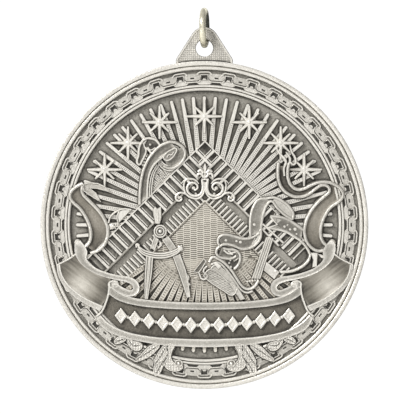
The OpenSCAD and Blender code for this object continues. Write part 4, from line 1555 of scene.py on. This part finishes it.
class JEWEL_OT_ear(Operator):
    """Ear at the top, with a plain border, a hatched face and a round hole"""

    bl_idname = "jewel.ear"
    bl_label = "Ear"

    def execute(self, context):
        half = 1.25
        hole_y = DISC_R + 2.4
        crown = [(2.48, 33.72, angle) for angle in (80, 65, 49, 32)]
        corner = [(0.936, 29.85, angle) for angle in (32, 14, -6)]
        side = [(r * math.cos(math.radians(a)), y + r * math.sin(math.radians(a))) for r, y, a in crown]
        side += [(4.264 + r * math.cos(math.radians(a)), y + r * math.sin(math.radians(a))) for r, y, a in corner]
        outline = facing(side + [(5.18, 29.05), (2.6, 29.38)])
        turns = [math.radians(15.0 * k) for k in range(24)]
        hole = [(1.6 * math.cos(t), hole_y + 1.6 * math.sin(t)) for t in turns]
        body = plate(outline, -half, half - 0.06, edge=0.08, hole=hole, sharp=True, draft=0.0)
        # The wall of the hole dark as painted shade, the rest of the ear even.
        layer = body.data.attributes["wear"]
        for spot, vertex in zip(layer.data, body.data.vertices):
            from_hole = math.hypot(vertex.co.x, vertex.co.y - hole_y)
            spot.value = 0.15 if from_hole < 1.61 and abs(vertex.co.z) < half - 0.1 else 0.80
        finished(body, "ear", hatched_metal())
        line = [(0.965 * x, 32.0 + 0.955 * (y - 32.0)) for x, y in outline]
        lip = ridge(line, 0.42, half + 0.02, half - 0.14, closed=True, sharp=True)
        back = twin(lip)
        back.rotation_euler = (0.0, math.pi, 0.0)
        take(back)
        bpy.ops.object.transform_apply(rotation=True)
        # A dark line of painted shade along the seam where the ear meets the rim.
        seam = [(30.06 * math.sin(math.radians(a)), 30.06 * math.cos(math.radians(a))) for a in range(-9, 10, 3)]
        shade = ridge(seam, 0.34, half + 0.03, half - 0.2)
        wear(shade, 0.0, 1.0, 0.05, 0.05)
        finished(joined(lip, back, shade), "ear_border", cast_metal())
        return {"FINISHED"}


class JEWEL_OT_jump_ring(Operator):
    """Wire ring with a closed cut, through the hole of the ear"""

    bl_idname = "jewel.jump_ring"
    bl_label = "Jump ring"

    def execute(self, context):
        outer = (RING_HIGH[2] - RING_LOW[2]) / 2
        wire = RING_HIGH[2]
        middle = outer - wire / 2
        centre_z = (RING_HIGH[2] + RING_LOW[2]) / 2
        rest()
        bpy.ops.mesh.primitive_circle_add(vertices=20, radius=wire / 2, fill_type="NGON", location=(0.0, middle, 0.0))
        piece = bpy.context.object
        bpy.ops.object.transform_apply(location=True)
        enter(piece)
        gap = 0.00004 / middle
        bpy.ops.mesh.spin(steps=96, angle=2 * math.pi - gap, center=(0.0, 0.0, 0.0), axis=(1.0, 0.0, 0.0))
        bpy.ops.mesh.select_all(action="SELECT")
        bpy.ops.mesh.normals_make_consistent(inside=False)
        leave()
        piece.rotation_euler = (math.radians(35.0), 0.0, 0.0)
        bpy.ops.object.transform_apply(rotation=True)
        piece.rotation_euler = (0.0, 0.0, math.radians(-6.5))
        piece.location = (0.0, 0.0, centre_z)
        bpy.ops.object.transform_apply(location=True, rotation=True)
        bpy.ops.object.shade_smooth_by_angle(angle=math.radians(40.0))
        piece.name = piece.data.name = "jump_ring_wire"
        finish = Finish("drawn_wire")
        colour = context.scene.jewel_colours.wire
        place = finish.add("TexCoord", output=3)
        soft = finish.add("TexNoise", Vector=place, Scale=420.0, Detail=3.0, Roughness=0.6)
        fine = finish.add("TexNoise", Vector=place, Scale=5200.0, Detail=2.0, Roughness=0.6)
        split = finish.add("SeparateXYZ", output=1, Vector=place)
        # Painted shade: the far side of the ring, away from the viewer, darker and rougher than the near side.
        far = finish.add("MapRange", Value=split, From_Min=-0.0008, From_Max=0.0014, To_Min=0.0, To_Max=1.0)
        stops = [
            (0.0, (colour[0] * 0.10, colour[1] * 0.11, colour[2] * 0.12, 1.0)),
            (0.30, (colour[0] * 0.62, colour[1] * 0.60, colour[2] * 0.56, 1.0)),
            (0.62, (*colour, 1.0)),
        ]
        tint = finish.add("ValToRGB", {"stops": stops}, Fac=soft + 0.18 - far * 0.72)
        normal = finish.add("Bump", Height=fine + soft, Strength=0.15, Distance=0.00002)
        rough = soft * 0.16 + 0.16 + far * 0.30
        finish.set(Base_Color=tint, Metallic=0.62, Roughness=rough, Specular_Tint=(0.16, 0.16, 0.14, 1.0), Normal=normal)
        piece.data.materials.append(finish.material)
        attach(piece, "jump_ring")
        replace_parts(piece, "jump_ring")
        return {"FINISHED"}


def smoothed(heights, cells):
    """Each height averaged with those round it, up to a number of cells away."""
    span = 2 * cells + 1
    for _ in range(2):
        for axis in (0, 1):
            room = [(0, 0), (0, 0)]
            room[axis] = (cells + 1, cells)
            total = np.cumsum(np.pad(heights, room, mode="edge"), axis=axis)
            ahead = np.take(total, range(span, total.shape[axis]), axis=axis)
            behind = np.take(total, range(total.shape[axis] - span), axis=axis)
            heights = (ahead - behind) / span
    return heights


class JEWEL_OT_patina_and_shade(Operator):
    """Darkens the relief where it lies lower than the work round it, as patina and painted shade, and brightens edges
    that stand out, as rubbing and painted highlight
    """

    bl_idname = "jewel.patina"
    bl_label = "Rub the patina"

    def execute(self, context):
        pieces = [item for item in context.scene.objects if item.type == "MESH" and "wear" in item.data.attributes]
        places = {piece: self.places(piece) for piece in pieces}
        heights = self.heights(pieces, places)
        near = smoothed(heights, 2)
        wide = smoothed(heights, 8)
        for piece in pieces:
            spots = places[piece]
            column = np.clip(((spots[:, 0] / MM - self.low_x) / self.cell).astype(int), 0, heights.shape[0] - 1)
            row = np.clip(((spots[:, 2] / MM - self.low_z) / self.cell).astype(int), 0, heights.shape[1] - 1)
            own = -spots[:, 1] / MM
            above = own - near[column, row]
            over = own - wide[column, row]
            layer = piece.data.attributes["wear"]
            level = np.empty(len(spots), dtype=np.float32)
            layer.data.foreach_get("value", level)
            # Patina and painted shade below the near work, rubbing and painted highlight above it, and a broad painted
            # light and shade by the wider surroundings.
            change = 1.75 * np.clip(above, -0.26, 0.0) + 1.35 * np.clip(above, 0.0, 0.16) + 0.32 * np.clip(over, -0.40, 0.30)
            level = np.where(own > 0.0, np.clip(level + change, 0.0, 1.0), level)
            layer.data.foreach_set("value", level.astype(np.float32))
        return {"FINISHED"}

    cell = 0.09
    low_x = -30.5
    low_z = -69.0

    def places(self, piece):
        spots = np.empty(3 * len(piece.data.vertices), dtype=np.float32)
        piece.data.vertices.foreach_get("co", spots)
        return spots.reshape(-1, 3)

    def heights(self, pieces, places):
        """How far the front stands out towards the viewer, over a fine grid of places."""
        corners = []
        triangles = []
        start = 0
        for piece in pieces:
            piece.data.calc_loop_triangles()
            loops = np.empty(3 * len(piece.data.loop_triangles), dtype=np.int32)
            piece.data.loop_triangles.foreach_get("vertices", loops)
            triangles += (loops.reshape(-1, 3) + start).tolist()
            corners += (places[piece] / MM).tolist()
            start += len(places[piece])
        tree = BVHTree.FromPolygons(corners, triangles, all_triangles=True)
        columns = int(61.0 / self.cell)
        rows = int(69.0 / self.cell)
        heights = np.zeros((columns, rows))
        ahead = Vector((0.0, 1.0, 0.0))
        for i in range(columns):
            x = self.low_x + (i + 0.5) * self.cell
            for j in range(rows):
                place = Vector((x, -5.0, self.low_z + (j + 0.5) * self.cell))
                hit = tree.ray_cast(place, ahead)[0]
                if hit:
                    heights[i, j] = -hit.y
        outside = heights == 0.0
        heights[outside] = RIM_TOP
        return heights


class JEWEL_OT_stage(Operator):
    """Pale floor, white backdrop, soft lights and the camera"""

    bl_idname = "jewel.stage"
    bl_label = "Stage"

    def execute(self, context):
        paper = context.scene.jewel_colours.paper
        rest()
        bpy.ops.mesh.primitive_circle_add(vertices=64, radius=1.6, fill_type="NGON", location=(0.0, 0.0, -0.22))
        floor = context.object
        bpy.ops.object.transform_apply(location=True)
        floor.name = "floor"
        finish = Finish("floor_paper")
        place = finish.add("TexCoord", output=3)
        fibre = finish.add("TexNoise", Vector=place, Scale=30.0, Detail=2.0)
        finish.set(
            Base_Color=finish.add(
                "ValToRGB", {"stops": [(0.0, (0.80, 0.80, 0.79, 1.0)), (1.0, (0.84, 0.84, 0.83, 1.0))]}, Fac=fibre
            ),
            Roughness=0.9,
        )
        floor.data.materials.append(finish.material)

        bpy.ops.mesh.primitive_plane_add(size=1.0, location=(0.0, 2.4, 0.4), rotation=(math.radians(90.0), 0.0, 0.0))
        wall = context.object
        wall.scale = (6.0, 4.0, 1.0)
        bpy.ops.object.transform_apply(location=True, rotation=True, scale=True)
        wall.name = "backdrop"
        glow = Finish("backdrop_white")
        glow.set(Base_Color=(0.0, 0.0, 0.0, 1.0), Roughness=1.0, Emission_Color=(*paper, 1.0), Emission_Strength=1.05)
        wall.data.materials.append(glow.material)

        world = context.scene.world or bpy.data.worlds.new("studio")
        context.scene.world = world
        world.use_nodes = True
        world.node_tree.nodes["Background"].inputs["Color"].default_value = (1.0, 0.985, 0.96, 1.0)
        world.node_tree.nodes["Background"].inputs["Strength"].default_value = 0.15

        self.lamp("key", (-0.95, -0.85, 0.90), 0.45, 30.5)
        self.lamp("front", (-0.10, -1.40, 0.10), 1.30, 2.6)
        self.lamp("fill", (0.90, -0.80, -0.02), 1.10, 0.7)
        self.lamp("back", (0.45, 1.20, 0.60), 0.80, 3.5)

        camera_data = bpy.data.cameras.new("camera")
        camera = bpy.data.objects.new("camera", camera_data)
        context.scene.collection.objects.link(camera)
        distance = 0.60
        view_width = 414.0 * unit(1.0) * MM
        camera_data.sensor_width = 36.0
        camera_data.lens = 36.0 * distance / view_width
        camera_data.clip_start = 0.01
        camera_data.clip_end = 20.0
        x = unit(207.0 - SHEET_X) * MM
        z = (DISC_Z + unit(SHEET_Y - 207.0)) * MM
        camera.location = (x, MEDAL_LOW[1] - distance, z)
        camera.rotation_euler = (math.radians(90.0), 0.0, 0.0)
        context.scene.camera = camera
        context.scene.view_settings.view_transform = "Standard"
        return {"FINISHED"}

    def lamp(self, name, place, size, watts):
        data = bpy.data.lights.new(name, "AREA")
        data.shape = "SQUARE"
        data.size = size
        data.energy = watts
        lamp = bpy.data.objects.new(name, data)
        bpy.context.scene.collection.objects.link(lamp)
        lamp.location = place
        aim = Vector((0.0, 0.0, -0.035)) - Vector(place)
        lamp.rotation_euler = aim.to_track_quat("-Z", "Y").to_euler()


class JEWEL_PT_panel(Panel):
    """The sidebar panel that lists the sizes, the colours and the steps"""

    bl_idname = "JEWEL_PT_panel"
    bl_label = "Lodge jewel"
    bl_space_type = "VIEW_3D"
    bl_region_type = "UI"
    bl_category = "Jewel"

    def draw(self, context):
        for name in JewelSizes.__annotations__:
            self.layout.prop(context.scene.jewel_sizes, name)
        for name in JewelColours.__annotations__:
            self.layout.prop(context.scene.jewel_colours, name)
        for step in STEPS:
            self.layout.operator(step.bl_idname)


STEPS = (
    JEWEL_OT_stage,
    JEWEL_OT_blank,
    JEWEL_OT_chain,
    JEWEL_OT_sunburst,
    JEWEL_OT_square,
    JEWEL_OT_scrolls,
    JEWEL_OT_dividers,
    JEWEL_OT_left_horn,
    JEWEL_OT_right_curls,
    JEWEL_OT_tools,
    JEWEL_OT_ribbons,
    JEWEL_OT_banner,
    JEWEL_OT_leaves,
    JEWEL_OT_ear,
    JEWEL_OT_jump_ring,
    JEWEL_OT_patina_and_shade,
)
CLASSES = (JewelSizes, JewelColours, *STEPS, JEWEL_PT_panel)


def register():
    for item in CLASSES:
        bpy.utils.register_class(item)
    bpy.types.Scene.jewel_sizes = PointerProperty(type=JewelSizes)
    bpy.types.Scene.jewel_colours = PointerProperty(type=JewelColours)


def unregister():
    del bpy.types.Scene.jewel_colours
    del bpy.types.Scene.jewel_sizes
    for item in reversed(CLASSES):
        bpy.utils.unregister_class(item)


def main():
    register()
    bpy.ops.jewel.stage()
    bpy.ops.jewel.blank()
    bpy.ops.jewel.chain()
    bpy.ops.jewel.sunburst()
    bpy.ops.jewel.square()
    bpy.ops.jewel.scrolls()
    bpy.ops.jewel.dividers()
    bpy.ops.jewel.left_horn()
    bpy.ops.jewel.right_curls()
    bpy.ops.jewel.tools()
    bpy.ops.jewel.ribbons()
    bpy.ops.jewel.banner()
    bpy.ops.jewel.leaves()
    bpy.ops.jewel.ear()
    bpy.ops.jewel.jump_ring()
    bpy.ops.jewel.patina()


if __name__ == "__main__":
    main()
